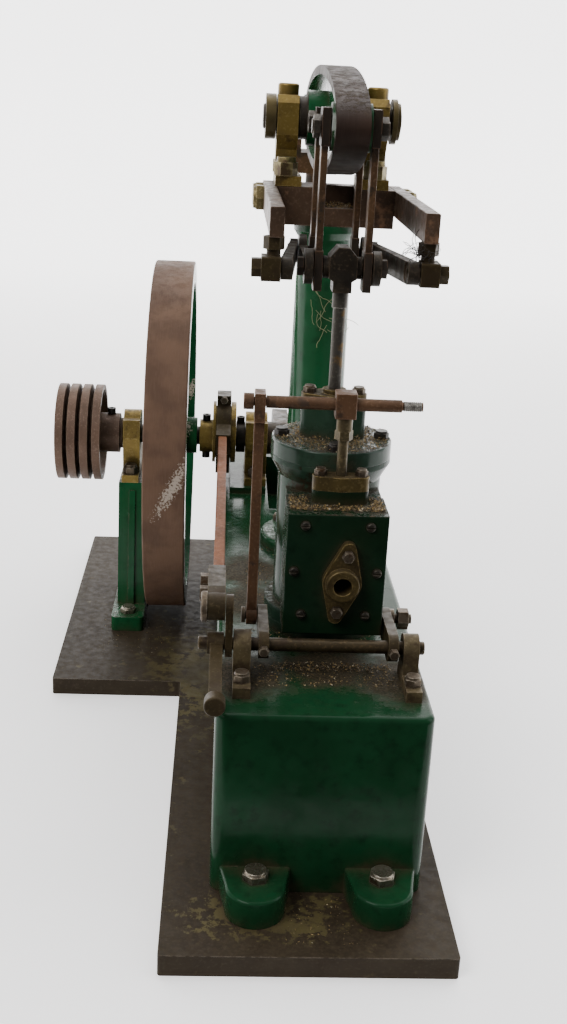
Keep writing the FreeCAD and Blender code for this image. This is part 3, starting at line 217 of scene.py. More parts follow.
def enamel(name, tones=GREEN, dust=0.35, dust_near=None, bare=None, bare_colour=None, grime_and_shade_amount=0.8, edge=True,
           specular=0.35, smears=()):
    """Gloss enamel over a casting: dust on level faces, oil grime with painted shade in corners, bare metal
    at worn edges.
    """
    f = Finish(name)
    cloud = f.band(f.noise(0.03, 4.0), 0.35, 0.65)
    colour = f.blend(cloud, tones[0], tones[1])
    colour = f.blend(f.band(f.noise(0.2, 5.0, shift=4.0), 0.5, 0.75, 0.0, 0.6), colour, tones[2])
    gloss = f.band(f.noise(0.15, 4.0, shift=2.0), 0.35, 0.7, 0.10, 0.26)
    metallic = 0.0
    if edge:
        chipped = f.band(f.noise(0.18, 5.0, rough=0.7, shift=9.0), 0.56, 0.66)
        worn = f.calc("MULTIPLY", f.edge_mask(0.6), chipped)
        colour = f.blend(worn, colour, (0.11, 0.085, 0.06))
    if bare is not None:
        mask = bare(f)
        tone = f.blend(f.band(f.noise(0.06, 5.0), 0.35, 0.65), bare_colour[0], bare_colour[1])
        lines = f.band(f.noise(1.2, 2.0, stretch=(6, 0.15, 0.15), shift=3.0), 0.45, 0.8, 0.0, 0.35)
        tone = f.blend(lines, tone, bare_colour[2])
        colour = f.blend(mask, colour, tone)
        metallic = f.calc("MULTIPLY", mask, 0.1)
        gloss = f.calc("ADD", gloss, f.calc("MULTIPLY", mask, 0.36))
    for where, smear_colour in smears:
        colour = f.blend(where(f), colour, smear_colour)
    # Oil grime with painted shade: corners darkened through ambient occlusion.
    oil_and_shade_spread = f.band(f.noise(0.2, 5.0, shift=5.0), 0.3, 0.6, 0.3, 1.0)
    grime_and_shade = f.calc("MULTIPLY", f.corner_shade(7.0, 0.3, 0.9), oil_and_shade_spread)
    grime_and_shade = f.calc("MULTIPLY", grime_and_shade, grime_and_shade_amount)
    colour = f.blend(grime_and_shade, colour, OIL_AND_SHADE)
    gloss = f.calc("ADD", gloss, f.calc("MULTIPLY", grime_and_shade, 0.3))
    level = f.band(f.facing("Z"), 0.6, 0.92)
    cover = f.band(f.noise(0.35, 7.0, rough=0.72, shift=11.0), 0.45, 0.60, 0.0, dust)
    if dust_near is not None:
        cover = f.calc("MAXIMUM", cover, dust_near(f))
    grains = f.calc("MULTIPLY", level, cover)
    dust_tone = f.blend(f.band(f.noise(1.1, 3.0, shift=6.0), 0.4, 0.65), (0.022, 0.018, 0.011), DUST)
    colour = f.blend(grains, colour, dust_tone)
    gloss = f.calc("ADD", gloss, f.calc("MULTIPLY", grains, 0.5))
    normal = f.soft_edges(0.5)
    normal = f.bump(f.noise(0.03, 3.0, shift=8.0), 0.5, 0.12, normal)
    normal = f.bump(f.noise(0.5, 4.0), 0.05, 0.25, normal)
    normal = f.bump(f.calc("MULTIPLY", grains, f.noise(1.5, 3.0)), 0.35, 0.8, normal)
    f.shader.inputs["Specular IOR Level"].default_value = specular
    return f.finish(colour, metallic, gloss, normal)


# ---- masks: where a finish changes on one piece ---------------------------------
def ring_radius(f, centre):
    """Distance from the X axis through a centre, in metres."""
    across = f.calc("SUBTRACT", f.coordinate("Y"), centre.y)
    up = f.calc("SUBTRACT", f.coordinate("Z"), centre.z)
    return f.calc("SQRT", f.calc("ADD", f.calc("MULTIPLY", across, across), f.calc("MULTIPLY", up, up)))


def sideways(f):
    return f.band(f.calc("ABSOLUTE", f.facing("X")), 0.9, 0.97)


def wheel_tread(f):
    return f.band(ring_radius(f, WHEEL_CENTRE), WHEEL_R - 1.4 * MM, WHEEL_R - 0.9 * MM)


def beam_oval(f):
    """One on the beam's oval edge, less inside it."""
    half_y = (BEAM_HIGH.y - BEAM_LOW.y) / 2
    half_z = (BEAM_HIGH.z - BEAM_LOW.z) / 2
    y = f.calc("DIVIDE", f.calc("SUBTRACT", f.coordinate("Y"), BEAM_CENTRE.y), half_y)
    z = f.calc("DIVIDE", f.calc("SUBTRACT", f.coordinate("Z"), BEAM_CENTRE.z), half_z)
    return f.calc("ADD", f.calc("MULTIPLY", y, y), f.calc("MULTIPLY", z, z))


def beam_edge(f):
    return f.band(beam_oval(f), 0.955, 0.975)


def beam_flange(f):
    out = f.band(f.calc("ABSOLUTE", f.coordinate("X")), 5.6 * MM, 5.9 * MM)
    return f.calc("MULTIPLY", sideways(f), out)


def bare_faces(masks):
    """One mask from several."""
    def joined(f):
        total = masks[0](f)
        for mask in masks[1:]:
            total = f.calc("MAXIMUM", total, mask(f))
        return total
    return joined


def patch_on(plane, centre, half, lean, cutoff, grains):
    """A ragged patch in a plane of two axes: its centre, half sizes in metres and lean in degrees.

    cutoff is a mask that it stays inside, and grains is how many of its specks fit in a millimetre.
    """
    def mask(f):
        along = f.calc("SUBTRACT", f.coordinate(plane[0]), centre[0])
        up = f.calc("SUBTRACT", f.coordinate(plane[1]), centre[1])
        c = math.cos(math.radians(lean))
        s = math.sin(math.radians(lean))
        a = f.calc("ADD", f.calc("MULTIPLY", along, c / half[0]), f.calc("MULTIPLY", up, s / half[0]))
        b = f.calc("SUBTRACT", f.calc("MULTIPLY", up, c / half[1]), f.calc("MULTIPLY", along, s / half[1]))
        away = f.calc("SQRT", f.calc("ADD", f.calc("MULTIPLY", a, a), f.calc("MULTIPLY", b, b)))
        ragged = f.calc("ADD", away, f.band(f.noise(grains, 5.0, rough=0.7, shift=6.0), 0.3, 0.7, -0.5, 0.9))
        return f.calc("MULTIPLY", f.band(ragged, 0.7, 1.0, 1.0, 0.0), cutoff(f))
    return mask


def facing_front(f):
    return f.band(f.facing("Y"), -0.75, -0.35, 1.0, 0.0)


def left_recess(f):
    inside = f.band(beam_oval(f), 0.94, 0.96, 1.0, 0.0)
    return f.calc("MULTIPLY", f.band(f.coordinate("X"), -1.0 * MM, 0.0, 1.0, 0.0), inside)


def oily_plate(f):
    """Old oil on the plate in front of the flywheel and round the front lugs."""
    by_wheel = patch_on("XY", (-45 * MM, 0.0), (34 * MM, 60 * MM), 0, facing_up, 0.12)(f)
    by_lugs = patch_on("XY", (-20 * MM, -181 * MM), (30 * MM, 13 * MM), 0, facing_up, 0.2)(f)
    return f.calc("MULTIPLY", f.calc("MAXIMUM", by_wheel, by_lugs), 0.8)


def facing_up(f):
    return f.band(f.facing("Z"), 0.6, 0.9)


def wheel_scuff(f):
    """Scraped metal, low on the front of the flywheel's tread."""
    return patch_on("XZ", (-62.7 * MM, 102.4 * MM), (17 * MM, 3.2 * MM), 62, facing_front, 0.9)(f)


# A pale patch on the left side of the web near the beam's front end: a painted reflection.
def beam_web_reflection(f):
    return patch_on("YZ", (-82 * MM, 268 * MM), (18 * MM, 14 * MM), 0, left_recess, 0.25)(f)


# A dark patch on the cylinder's front just below the cover: grime with painted shade under the overhang.
def cylinder_grime_and_shade(f):
    return patch_on("XZ", (-3 * MM, 136 * MM), (17 * MM, 9 * MM), 0, facing_front, 0.35)(f)


def outer_discs(f):
    return f.band(f.calc("ABSOLUTE", f.coordinate("X")), 21.0 * MM, 22.0 * MM)


def link_ends(f):
    low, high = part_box("main_links")
    half = (high.z - low.z) / 2
    away = f.calc("ABSOLUTE", f.calc("SUBTRACT", f.coordinate("Z"), (high.z + low.z) / 2))
    return f.band(away, half - 16 * MM, half - 12 * MM)


def dusty_foot(centres, reach_mm):
    """Thick dust and oil round what stands on a casting, fading out with distance."""
    def cover(f):
        total = None
        for x, y in centres:
            dx = f.calc("SUBTRACT", f.coordinate("X"), x)
            dy = f.calc("SUBTRACT", f.coordinate("Y"), y)
            away = f.calc("SQRT", f.calc("ADD", f.calc("MULTIPLY", dx, dx), f.calc("MULTIPLY", dy, dy)))
            wander = f.calc("MULTIPLY", f.noise(0.09, 6.0, rough=0.7, shift=13.0), 30 * MM)
            near = f.band(f.calc("ADD", away, wander), (reach_mm + 8) * MM, (reach_mm + 22) * MM, 0.95, 0.0)
            total = near if total is None else f.calc("MAXIMUM", total, near)
        return total
    return cover


# ---- materials ----------------------------------------------------------------
BROWN = ((0.070, 0.042, 0.026), (0.045, 0.028, 0.018), (0.11, 0.072, 0.050))
PULLEY_BROWN = ((0.120, 0.074, 0.052), (0.080, 0.050, 0.036), (0.18, 0.12, 0.09))
LINK_BROWN = ((0.085, 0.046, 0.022), (0.045, 0.027, 0.015), (0.15, 0.085, 0.050))
RED_BROWN = ((0.100, 0.053, 0.028), (0.062, 0.034, 0.019), (0.17, 0.10, 0.060))
GREY_BROWN = ((0.036, 0.026, 0.012), (0.022, 0.016, 0.008), (0.075, 0.056, 0.028))
OLIVE = ((0.190, 0.130, 0.034), (0.120, 0.082, 0.024), (0.28, 0.20, 0.07))
DULL_OLIVE = ((0.085, 0.060, 0.020), (0.050, 0.036, 0.014), (0.16, 0.12, 0.05))
BRONZE = ((0.050, 0.036, 0.018), (0.030, 0.022, 0.012), (0.11, 0.075, 0.035))
COPPER = ((0.170, 0.058, 0.022), (0.105, 0.036, 0.014), (0.24, 0.105, 0.050))
STEEL = ((0.060, 0.055, 0.046), (0.036, 0.033, 0.028), (0.12, 0.11, 0.095))
BLACK = ((0.016, 0.015, 0.014), (0.028, 0.025, 0.022), (0.05, 0.045, 0.04))
PLATE_BROWN = ((0.020, 0.0145, 0.009), (0.028, 0.021, 0.013), (0.037, 0.029, 0.018))
BRACKET_BROWN = ((0.085, 0.066, 0.034), (0.050, 0.038, 0.021), (0.14, 0.11, 0.065))
STRAND = ((0.30, 0.30, 0.16), (0.20, 0.21, 0.11), (0.42, 0.40, 0.26))
PALE = ((0.010, 0.026, 0.015), (0.019, 0.042, 0.026), (0.006, 0.015, 0.008))
CHEST_GREEN = ((0.0045, 0.014, 0.006), (0.0060, 0.019, 0.009), (0.0030, 0.009, 0.005))

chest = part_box("valve_chest")
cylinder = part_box("cylinder_cover")
bracket_low, bracket_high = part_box("rocker_brackets")
cylinder_at = ((cylinder[0].x + cylinder[1].x) / 2, (cylinder[0].y + cylinder[1].y) / 2)
rocker_y = bracket_high.y - 6.3 * MM
foot_spots = [cylinder_at, (0.0, 0.0)]
foot_spots += [(bracket_low.x + 4 * MM, rocker_y), (bracket_high.x - 6 * MM, rocker_y)]
foot_spots.append(((chest[0].x + chest[1].x) / 2, chest[0].y - 6 * MM))
foot_spots += [(-26 * MM, -75 * MM), (-28 * MM, -40 * MM)]

finishes = {
    "plate": metal("plate_steel", PLATE_BROWN, 0.05,
                   (0.42, 0.60), grain=(0.2, 3, 1), patch=(0.060, 0.048, 0.024), patch_amount=0.1,
                   edge=(0.11, 0.09, 0.07), dust=0.3, pit=0.02, specular=0.08,
                   other=(oily_plate, ((0.080, 0.066, 0.026), (0.040, 0.033, 0.016)))),
    "bed": enamel("bed_enamel", BED_GREEN, dust=0.05, dust_near=dusty_foot(foot_spots, 17), specular=0.08),
    "cylinder": enamel("cylinder_enamel", PALE, dust=0.7, grime_and_shade_amount=0.9, specular=0.10,
                       # Dark patch below the cover on the cylinder's front: grime with painted shade.
                       smears=[(cylinder_grime_and_shade, (0.020, 0.015, 0.009))]),
    "cover": enamel("cover_enamel", PALE, dust=0.95, grime_and_shade_amount=0.9, specular=0.2),
    "chest": enamel("chest_enamel", CHEST_GREEN, 0.98, specular=0.08),
    "column": enamel("column_enamel", dust=0.6),
    "pedestal": enamel("pedestal_enamel", GREEN, dust=0.6, specular=0.12),
    "wheel": enamel("flywheel_enamel", dust=0.2, bare=wheel_tread, edge=False, specular=0.06,
                    bare_colour=((0.120, 0.072, 0.048), (0.085, 0.051, 0.035), (0.16, 0.105, 0.078)),
                    smears=[(wheel_scuff, (0.34, 0.29, 0.24))]),
    "beam": enamel("beam_enamel", dust=0.5, bare=bare_faces([beam_edge, beam_flange]), edge=False,
                   bare_colour=((0.030, 0.018, 0.013), (0.021, 0.013, 0.010), (0.045, 0.030, 0.023)),
                   # The pale patch on the beam's left web is a painted reflection.
                   specular=0.08, smears=[(beam_web_reflection, (0.30, 0.33, 0.30))]),
    "pulley": metal("pulley_steel", PULLEY_BROWN, 0.2, grain=(3, 0.3, 3), edge=(0.24, 0.165, 0.12), dust=0.3,
                    specular=0.12),
    "brown": metal("brown_steel", BROWN, 0.35, grain=(3, 0.3, 3), patch=(0.17, 0.095, 0.055),
                   patch_amount=0.3, edge=(0.24, 0.17, 0.13), dust=0.5),
    "link": metal("link_steel", LINK_BROWN, 0.35, grain=(3, 3, 0.3), patch=(0.030, 0.022, 0.015),
                  patch_amount=0.4, edge=(0.16, 0.095, 0.06), dust=0.3,
                  other=(link_ends, ((0.022, 0.016, 0.012), (0.034, 0.025, 0.018)))),
    "conrod": metal("conrod_steel", LINK_BROWN, 0.35, grain=(3, 3, 0.3), patch=(0.030, 0.022, 0.015),
                    patch_amount=0.4, edge=(0.16, 0.095, 0.06), dust=0.3),
    "collar": metal("trunnion_steel", ((0.030, 0.025, 0.020), (0.020, 0.017, 0.014), (0.06, 0.05, 0.04)), 0.5,
                    (0.3, 0.5), edge=(0.12, 0.10, 0.07), dust=0.3,
                    other=(outer_discs, ((0.085, 0.064, 0.024), (0.050, 0.038, 0.018)))),
    "bracket": metal("bracket_steel", BRACKET_BROWN, 0.2, patch=(0.045, 0.032, 0.018), patch_amount=0.4,
                     edge=(0.18, 0.14, 0.085), dust=0.4, pit=0.10, specular=0.1),
    "red_brown": metal("red_brown_steel", RED_BROWN, 0.35, grain=(3, 3, 0.3), patch=(0.05, 0.032, 0.022),
                       patch_amount=0.3, edge=(0.30, 0.17, 0.11), dust=0.3),
    "grey_brown": metal("grey_brown_steel", GREY_BROWN, 0.2, patch=(0.028, 0.019, 0.010), patch_amount=0.5,
                        edge=(0.10, 0.078, 0.042), dust=0.3, pit=0.10, specular=0.1),
    "olive": metal("olive_brass", OLIVE, 0.6, (0.28, 0.46), patch=(0.075, 0.05, 0.018), patch_amount=0.35,
                   edge=(0.42, 0.31, 0.12), dust=0.5),
    "dull_olive": metal("dull_brass", DULL_OLIVE, 0.4, (0.34, 0.5), patch=(0.04, 0.028, 0.012),
                        patch_amount=0.4, edge=(0.30, 0.22, 0.09), dust=0.5),
    "bronze": metal("dark_bronze", BRONZE, 0.5, (0.26, 0.42), grain=(0.3, 3, 3), patch=(0.03, 0.02, 0.012),
                    patch_amount=0.5, edge=(0.16, 0.10, 0.05), dust=0.4),
    "grease": metal("greasy_steel", ((0.026, 0.020, 0.013), (0.016, 0.012, 0.008), (0.07, 0.052, 0.034)), 0.3,
                    patch=(0.014, 0.011, 0.008), patch_amount=0.5, edge=(0.10, 0.07, 0.045), dust=0.4,
                    pit=0.16),
    "brass_rod": metal("brass_rod", ((0.080, 0.062, 0.032), (0.045, 0.036, 0.020), (0.17, 0.135, 0.07)), 0.5,
                       (0.28, 0.42), grain=(3, 3, 0.3), patch=(0.04, 0.028, 0.016), patch_amount=0.4,
                       edge=(0.3, 0.24, 0.13)),
    "screw": metal("dark_screw", ((0.026, 0.023, 0.017), (0.016, 0.014, 0.011), (0.07, 0.062, 0.048)), 0.5,
                   (0.3, 0.45), edge=(0.12, 0.105, 0.08), dust=0.3),
    "copper": metal("coppered_bar", COPPER, 0.15, (0.45, 0.60), grain=(3, 0.2, 3), patch=(0.13, 0.06, 0.035),
                    patch_amount=0.35, edge=(0.34, 0.16, 0.085), dust=0.2, specular=0.08),
    "steel": metal("oiled_steel", STEEL, 0.5, (0.3, 0.45), grain=(3, 3, 0.3), patch=(0.12, 0.075, 0.03),
                   patch_amount=0.3, edge=(0.4, 0.38, 0.34), grime_and_shade_amount=0.5),
    "dark": metal("dark_steel", ((0.045, 0.038, 0.031), (0.028, 0.024, 0.02), (0.085, 0.07, 0.055)), 0.6,
                  (0.3, 0.5), patch=(0.07, 0.045, 0.03), patch_amount=0.4, edge=(0.16, 0.13, 0.10), dust=0.4),
    "bolt": metal("bolt_steel", ((0.10, 0.078, 0.055), (0.062, 0.046, 0.032), (0.17, 0.14, 0.10)), 0.8,
                  patch=(0.055, 0.030, 0.016), patch_amount=0.4, edge=(0.30, 0.26, 0.20), dust=0.3),
    "bright_bolt": metal("bright_bolt", ((0.30, 0.26, 0.20), (0.20, 0.17, 0.12), (0.45, 0.42, 0.36)), 0.9,
                         (0.22, 0.36), patch=(0.12, 0.08, 0.045), patch_amount=0.25, edge=(0.60, 0.55, 0.46)),
    "olive_bolt": metal("olive_bolt", ((0.20, 0.165, 0.075), (0.13, 0.10, 0.045), (0.30, 0.26, 0.14)), 0.8,
                        patch=(0.08, 0.055, 0.03), patch_amount=0.4, edge=(0.45, 0.38, 0.2), dust=0.3),
    "black": metal("black_screw", BLACK, 0.5, (0.3, 0.5), edge=(0.10, 0.09, 0.08), dust=0.3),
}

wearing = {
    "plate": ("base_plate",),
    "bed": ("bed",),
    "cylinder": ("cylinder", "cylinder_bottom_cover"),
    "cover": ("cylinder_cover",),
    "chest": ("valve_chest", "chest_cover"),
    "column": ("column",),
    "pedestal": ("outboard_pedestal",),
    "wheel": ("flywheel",),
    "beam": ("beam",),
    "pulley": ("pulley",),
    "brown": ("entablature", "radius_arms"),
    "grease": ("crosshead", "radius_rods", "parallel_bars"),
    "link": ("main_links", "back_links"),
    "conrod": ("connecting_rod",),
    "collar": ("trunnion_collars",),
    "bracket": ("rocker_brackets",),
    "red_brown": ("valve_link", "valve_crosshead"),
    "bronze": ("rocker_shaft",),
    "grey_brown": ("radius_pivots", "rocker_arms", "hand_lever", "gab", "eccentric_strap"),
    "dull_olive": ("glands", "steam_inlet_flange"),
    "brass_rod": ("valve_rod",),
    "screw": ("chest_screws",),
    "olive": ("shaft_bearings", "bearing_caps", "trunnion_bearings",
              "eccentric_sheave", "big_end"),
    "copper": ("eccentric_rod",),
    "steel": ("piston_rod", "crankshaft", "crank_pin", "piston", "piston_rings", "slide_valve"),
    "dark": ("crank", "trunnion_shaft", "beam_pins"),
    "bolt": ("rocker_pins", "gland_bolts", "bearing_bolts", "eccentric_bolts", "bed_top_bolts"),
    "bright_bolt": ("foot_bolts",),
    "olive_bolt": ("entablature_bolts",),
    "black": ("set_screws", "cover_bolts", "shaft_collar"),
}
for key, names in wearing.items():
    for name in names:
        for slot in nodes[name].material_slots:
            slot.material = finishes[key]


# ---- camera, light and floor ----------------------------------------------------
def look(yaw, pitch, roll):
    """Camera axes from a heading towards +Y, a downward pitch and a roll, in degrees."""
    yaw, pitch, roll = (math.radians(angle) for angle in (yaw, pitch, roll))
    forward = Vector((math.sin(yaw) * math.cos(pitch), math.cos(yaw) * math.cos(pitch), -math.sin(pitch)))
    right = Vector((math.cos(yaw), -math.sin(yaw), 0))
    up = right.cross(forward)
    turned_right = right * math.cos(roll) + up * math.sin(roll)
    turned_up = up * math.cos(roll) - right * math.sin(roll)
    return Matrix((turned_right, turned_up, -forward)).transposed()


def add_camera():
    data = bpy.data.cameras.new("camera")
    data.sensor_fit = "VERTICAL"
    data.sensor_height = 36.0
    data.lens = 43.25
    camera = bpy.data.objects.new("camera", data)
    place = Matrix.Translation((-0.04193, -0.53352, 0.28022))
    camera.matrix_world = place @ look(3.225, 19.456, 2.884).to_4x4()
    bpy.context.scene.collection.objects.link(camera)
    bpy.context.scene.camera = camera


def add_light(name, place, target, size, power, colour=(1, 1, 1)):
    data = bpy.data.lights.new(name, "AREA")
    data.shape = "RECTANGLE"
    data.size = size[0]
    data.size_y = size[1]
    data.energy = power
    data.color = colour
    lamp = bpy.data.objects.new(name, data)
    lamp.location = place
    lamp.rotation_euler = (Vector(target) - Vector(place)).to_track_quat("-Z", "Y").to_euler()
    bpy.context.scene.collection.objects.link(lamp)


def add_sheet(name, outline, half_width, tone, glow=None):
    """A matt sheet: a profile in the YZ plane drawn out along X. Its glow grows towards the back."""
    corners = [(x, y, z) for y, z in outline for x in (-half_width, half_width)]
    faces = [(2 * i, 2 * i + 1, 2 * i + 3, 2 * i + 2) for i in range(len(outline) - 1)]
    mesh = bpy.data.meshes.new(name)
    mesh.from_pydata(corners, [], faces)
    mesh.polygons.foreach_set("use_smooth", [True] * len(faces))
    sheet = bpy.data.objects.new(name, mesh)
    bpy.context.scene.collection.objects.link(sheet)
    f = Finish(name)
    colour = f.blend(f.band(f.noise(0.004, 3.0), 0.3, 0.7), tone, [0.96 * part for part in tone])
    if glow:
        f.shader.inputs["Emission Color"].default_value = (*tone, 1.0)
        f.join(f.band(f.coordinate("Y"), 0.1, 2.0, *glow), f.shader.inputs["Emission Strength"])
    f.finish(colour, 0.0, 0.7, f.bump(f.noise(0.02, 3.0), 0.2, 0.1))
    mesh.materials.append(f.material)


def add_stage():
    """A white sweep that curves up behind the engine, and a dark sheet on the floor in front of it that
    stands in for the shade on the side the engine is seen from.
    """
    radius = 1.0
    flat = 1.3
    front = -0.24
    outline = [(front, 0.0), (flat, 0.0)]
    for i in range(1, 13):
        angle = math.pi / 2 * i / 12
        outline.append((flat + radius * math.sin(angle), radius - radius * math.cos(angle)))
    outline.append((flat + radius, 3.0))
    add_sheet("floor", outline, 4.0, (0.90, 0.89, 0.885), (0.50, 3.2))
    # The dark sheet is painted shade: it darkens the floor in front and what the engine's front faces
    # reflect.
    add_sheet("front_shade_sheet", [(-3.0, -0.001), (front, -0.001)], 4.0, (0.05, 0.05, 0.05))


def add_world():
    """A bright room behind and above the engine, dark on the side it is seen from."""
    world = bpy.data.worlds.new("studio")
    world.use_nodes = True
    nodes_used = world.node_tree.nodes
    links = world.node_tree.links
    place = nodes_used.new("ShaderNodeTexCoord")
    split = nodes_used.new("ShaderNodeSeparateXYZ")
    ramp = nodes_used.new("ShaderNodeMapRange")
    mix = nodes_used.new("ShaderNodeMix")
    mix.data_type = "RGBA"
    links.new(place.outputs["Generated"], split.inputs[0])
    links.new(split.outputs["Y"], ramp.inputs["Value"])
    ramp.inputs["From Min"].default_value = -0.55
    ramp.inputs["From Max"].default_value = 0.15
    links.new(ramp.outputs["Result"], mix.inputs["Factor"])
    mix.inputs["A"].default_value = (0.34, 0.34, 0.35, 1.0)
    mix.inputs["B"].default_value = (0.95, 0.96, 1.0, 1.0)
    background = nodes_used["Background"]
    links.new(mix.outputs["Result"], background.inputs["Color"])
    background.inputs["Strength"].default_value = 1.0
    bpy.context.scene.world = world


add_camera()
add_stage()
add_world()
add_light("key", (-1.0, -0.9, 1.4), (0, 0, 0.1), (1.0, 1.0), 30, (1.0, 0.98, 0.96))
add_light("top", (0.3, 0.5, 1.6), (0, 0, 0.1), (1.4, 1.4), 18)
add_light("right", (1.3, -0.2, 0.7), (0, 0, 0.15), (0.7, 1.2), 8, (0.95, 0.97, 1.0))


# ---- swarf, threads and fibres ----------------------------------------------------
def add_mesh(name, vertices, faces, body, finish, smooth=False):
    mesh = bpy.data.meshes.new(name)
    mesh.from_pydata(vertices, [], faces)
    mesh.polygons.foreach_set("use_smooth", [smooth] * len(faces))
    mesh.materials.append(finishes[finish])
    piece = bpy.data.objects.new(name, mesh)
    bpy.context.scene.collection.objects.link(piece)
    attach(piece, body)
    return piece


def lathe(centre, profile, steps=40):
    """A closed ring turned about the X axis from (along, radius) points, in order round its section."""
    vertices = []
    for i in range(steps):
        angle = 2 * math.pi * i / steps
        for along, radius in profile:
            y = centre[0] + radius * math.cos(angle)
            z = centre[1] + radius * math.sin(angle)
            vertices.append((along, y, z))
    count = len(profile)
    faces = []
    for i in range(steps):
        for j in range(count):
            here = i * count + j
            there = i * count + (j + 1) % count
            next_ring = count if i < steps - 1 else -(steps - 1) * count
            faces.append((here, there, there + next_ring, here + next_ring))
    return vertices, faces


def add_thread(name, body, centre, radius, span, pitch):
    """A screwed length: crests and roots round a plain rod."""
    turns = int((span[1] - span[0]) / pitch)
    profile = [(span[0], radius * 0.8)]
    for i in range(turns):
        start = span[0] + i * pitch
        profile.append((start, radius + 0.01 * MM))
        profile.append((start + pitch * 0.5, radius + 0.22 * MM))
    profile.append((span[0] + turns * pitch, radius + 0.01 * MM))
    profile.append((span[0] + turns * pitch, radius * 0.8))
    vertices, faces = lathe(centre, profile)
    add_mesh(name, vertices, faces, body, "steel")


def strip_faces(segments):
    """The sides and both ends of a strip made of rings of four corners."""
    faces = [(0, 3, 2, 1)]
    for i in range(segments):
        a = 4 * i
        faces += [(a + j, a + (j + 1) % 4, a + 4 + (j + 1) % 4, a + 4 + j) for j in range(4)]
    last = 4 * segments
    faces.append((last, last + 1, last + 2, last + 3))
    return faces


def chip(rng, place, size):
    """One curl of swarf: a thin bent strip with four sides."""
    segments = 3
    length = size * rng.uniform(0.7, 1.7)
    width = size * rng.uniform(0.25, 0.55)
    thick = size * rng.uniform(0.10, 0.22)
    bend = rng.uniform(-2.2, 2.2)
    turn = Matrix.Rotation(rng.uniform(0, 2 * math.pi), 3, "Z") @ Matrix.Rotation(rng.gauss(0, 0.45), 3, "Y")
    turn = turn @ Matrix.Rotation(rng.uniform(-0.9, 0.9), 3, "X")
    vertices = []
    for i in range(segments + 1):
        t = i / segments - 0.5
        spine = Vector((length * t, 0, bend * length * t * t))
        for u, v in ((-1, -1), (1, -1), (1, 1), (-1, 1)):
            corner = spine + Vector((0, u * width / 2, v * thick / 2))
            vertices.append(Vector(place) + turn @ corner)
    return vertices, strip_faces(segments)


def add_chips(name, body, spots, seed, size=0.75):
    """Many chips in one piece. Each spot is a function that gives a random place."""
    rng = random.Random(seed)
    vertices = []
    faces = []
    for spot, count in spots:
        for _ in range(count):
            place = spot(rng)
            more, sides = chip(rng, place, rng.uniform(0.4, 1.15) * size * MM)
            first = len(vertices)
            vertices += more
            faces += [tuple(first + corner for corner in side) for side in sides]
    return add_mesh(name, vertices, faces, body, "swarf")


def on_ring(centre, inner, outer, height, pile=0.5):
    def spot(rng):
        angle = rng.uniform(0, 2 * math.pi)
        radius = math.sqrt(rng.uniform(inner ** 2, outer ** 2)) * MM
        lift = abs(rng.gauss(0, pile)) * MM
        return (centre[0] + radius * math.cos(angle), centre[1] + radius * math.sin(angle), height + lift)
    return spot


def on_block(low, high, height, pile=0.4):
    def spot(rng):
        lift = abs(rng.gauss(0, pile)) * MM
        return (rng.uniform(low[0], high[0]), rng.uniform(low[1], high[1]), height + lift)
    return spot


def swarf_finish():
    f = Finish("swarf")
    island = f.noise(0.9, 2.0)
    colour = f.blend(f.band(island, 0.42, 0.64), (0.050, 0.032, 0.015), (0.34, 0.235, 0.095))
    # Pale specks on the chips: painted highlights.
    colour = f.blend(f.band(f.noise(0.6, 2.0, shift=5.0), 0.60, 0.68), colour, (0.50, 0.44, 0.32))
    normal = f.bump(f.noise(2.5, 2.0), 0.03, 0.4)
    return f.finish(colour, 0.55, f.band(island, 0.3, 0.7, 0.35, 0.6), normal)


finishes["swarf"] = swarf_finish()
finishes["hair"] = metal("fibre", STRAND, 0.0, (0.5, 0.7))

cover_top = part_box("cover_bolts")[1].z - 3.0 * MM
chest_top = chest[1].z - 5.0 * MM
table_low, table_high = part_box("entablature")
ledge = table_high.z - 8.0 * MM
add_chips("swarf_cover", "frame", [
    (on_ring(cylinder_at, 12.4, 21.6, cover_top), 1500),
    (on_ring(cylinder_at, 8.5, 14.0, cover_top, 0.9), 700),
], 11, 0.6)
add_chips("swarf_chest", "frame", [
    (on_block((chest[0].x + MM, chest[0].y + MM), (chest[1].x - MM, chest[0].y + 5.5 * MM), chest_top), 640),
    (on_block((chest[0].x + MM, chest[0].y + MM), (-9.5 * MM, chest[1].y - MM), chest_top), 300),
    (on_block((13.0 * MM, chest[0].y + MM), (chest[1].x - MM, chest[1].y - MM), chest_top), 300),
], 12, 0.6)
add_chips("swarf_ledge", "frame", [
    (on_block((-5 * MM, table_low.y + MM), (10 * MM, MM), ledge, 0.8), 420),
], 13, 0.6)
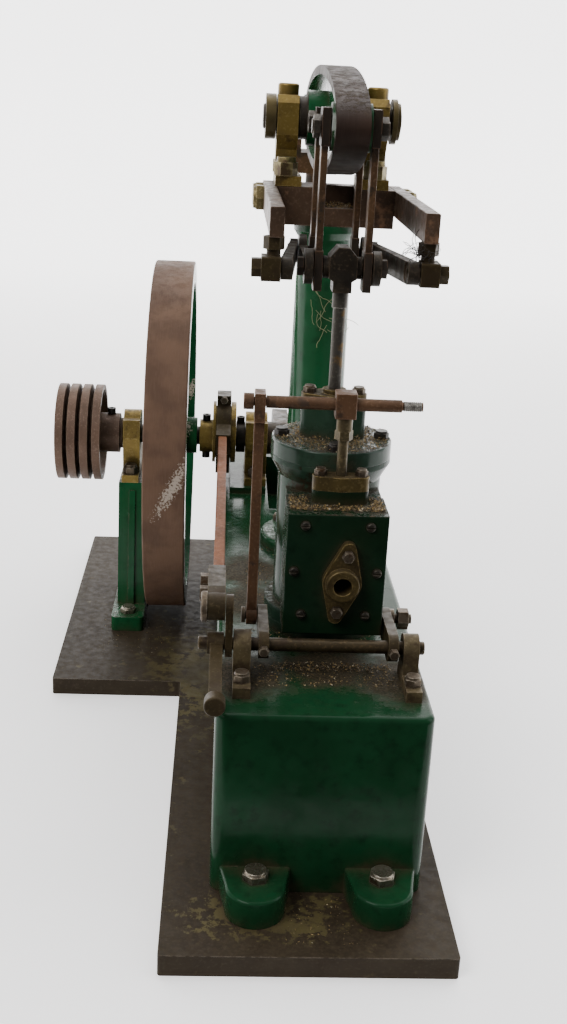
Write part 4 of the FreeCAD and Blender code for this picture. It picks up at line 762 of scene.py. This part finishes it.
add_chips("swarf_bed", "frame", [
    (on_block((-20 * MM, -134 * MM), (22 * MM, -127 * MM), BED_TOP, 0.3), 420),
    (on_block((-27 * MM, -146 * MM), (24 * MM, -130 * MM), BED_TOP, 0.15), 420),
    (on_block((-29 * MM, -110 * MM), (-20 * MM, -30 * MM), BED_TOP, 0.15), 260),
    (on_ring(cylinder_at, 23, 30, BED_TOP, 0.3), 260),
    (on_ring((0, 0), 22, 27, BED_TOP, 0.2), 140),
], 14, 0.6)
add_chips("swarf_plate", "frame", [
    (on_block((-100 * MM, 20 * MM), (-60 * MM, 60 * MM), PLATE_TOP, 0.1), 120),
    (on_block((-16 * MM, -196 * MM), (10 * MM, -170 * MM), PLATE_TOP, 0.1), 120),
], 15, 0.45)


def fibre(rng, start, heading, length, width):
    """One fine bent strand of swarf with a square section, in the XZ plane."""
    steps = 9
    vertices = []
    at = Vector(start)
    angle = heading
    for i in range(steps + 1):
        side = Vector((math.cos(angle), 0, -math.sin(angle))) * width
        out = Vector((0, 1, 0)) * width
        vertices += [at - side - out, at + side - out, at + side + out, at - side + out]
        angle += rng.uniform(-0.45, 0.45)
        at = at + Vector((math.sin(angle), rng.uniform(-0.05, 0.05), math.cos(angle))) * length / steps
    return vertices, strip_faces(steps)


def add_fibres(name, finish, centre, spread, count, length, seed):
    """Many strands in one piece, each starting at a random place near a centre."""
    rng = random.Random(seed)
    vertices = []
    faces = []
    for _ in range(count):
        start = [middle + rng.uniform(-1, 1) * reach for middle, reach in zip(centre, spread)]
        heading = rng.uniform(0, 2 * math.pi)
        more, sides = fibre(rng, start, heading, length * rng.uniform(0.5, 1.3), 0.09 * MM)
        first = len(vertices)
        vertices += more
        faces += [tuple(first + corner for corner in side) for side in sides]
    add_mesh(name, vertices, faces, "frame", finish)


column_front = (1 * MM, -13.6 * MM, 184 * MM)
arm_end = (27 * MM, -97 * MM, 225 * MM)
add_fibres("fibres_column", "hair", column_front, (5 * MM, 0.5 * MM, 7 * MM), 12, 15 * MM, 21)
add_fibres("fibres_arm", "black", arm_end, (4 * MM, 2 * MM, 3 * MM), 60, 5 * MM, 22)

bar_low, bar_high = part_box("valve_crosshead")
bar_centre = ((bar_low.y + bar_high.y) / 2, bar_low.z + 4.5 * MM)
thread_span = (bar_high.x - 6.8 * MM, bar_high.x - 0.3 * MM)
add_thread("crossbar_thread", "valve", bar_centre, 1.6 * MM, thread_span, 0.7 * MM)
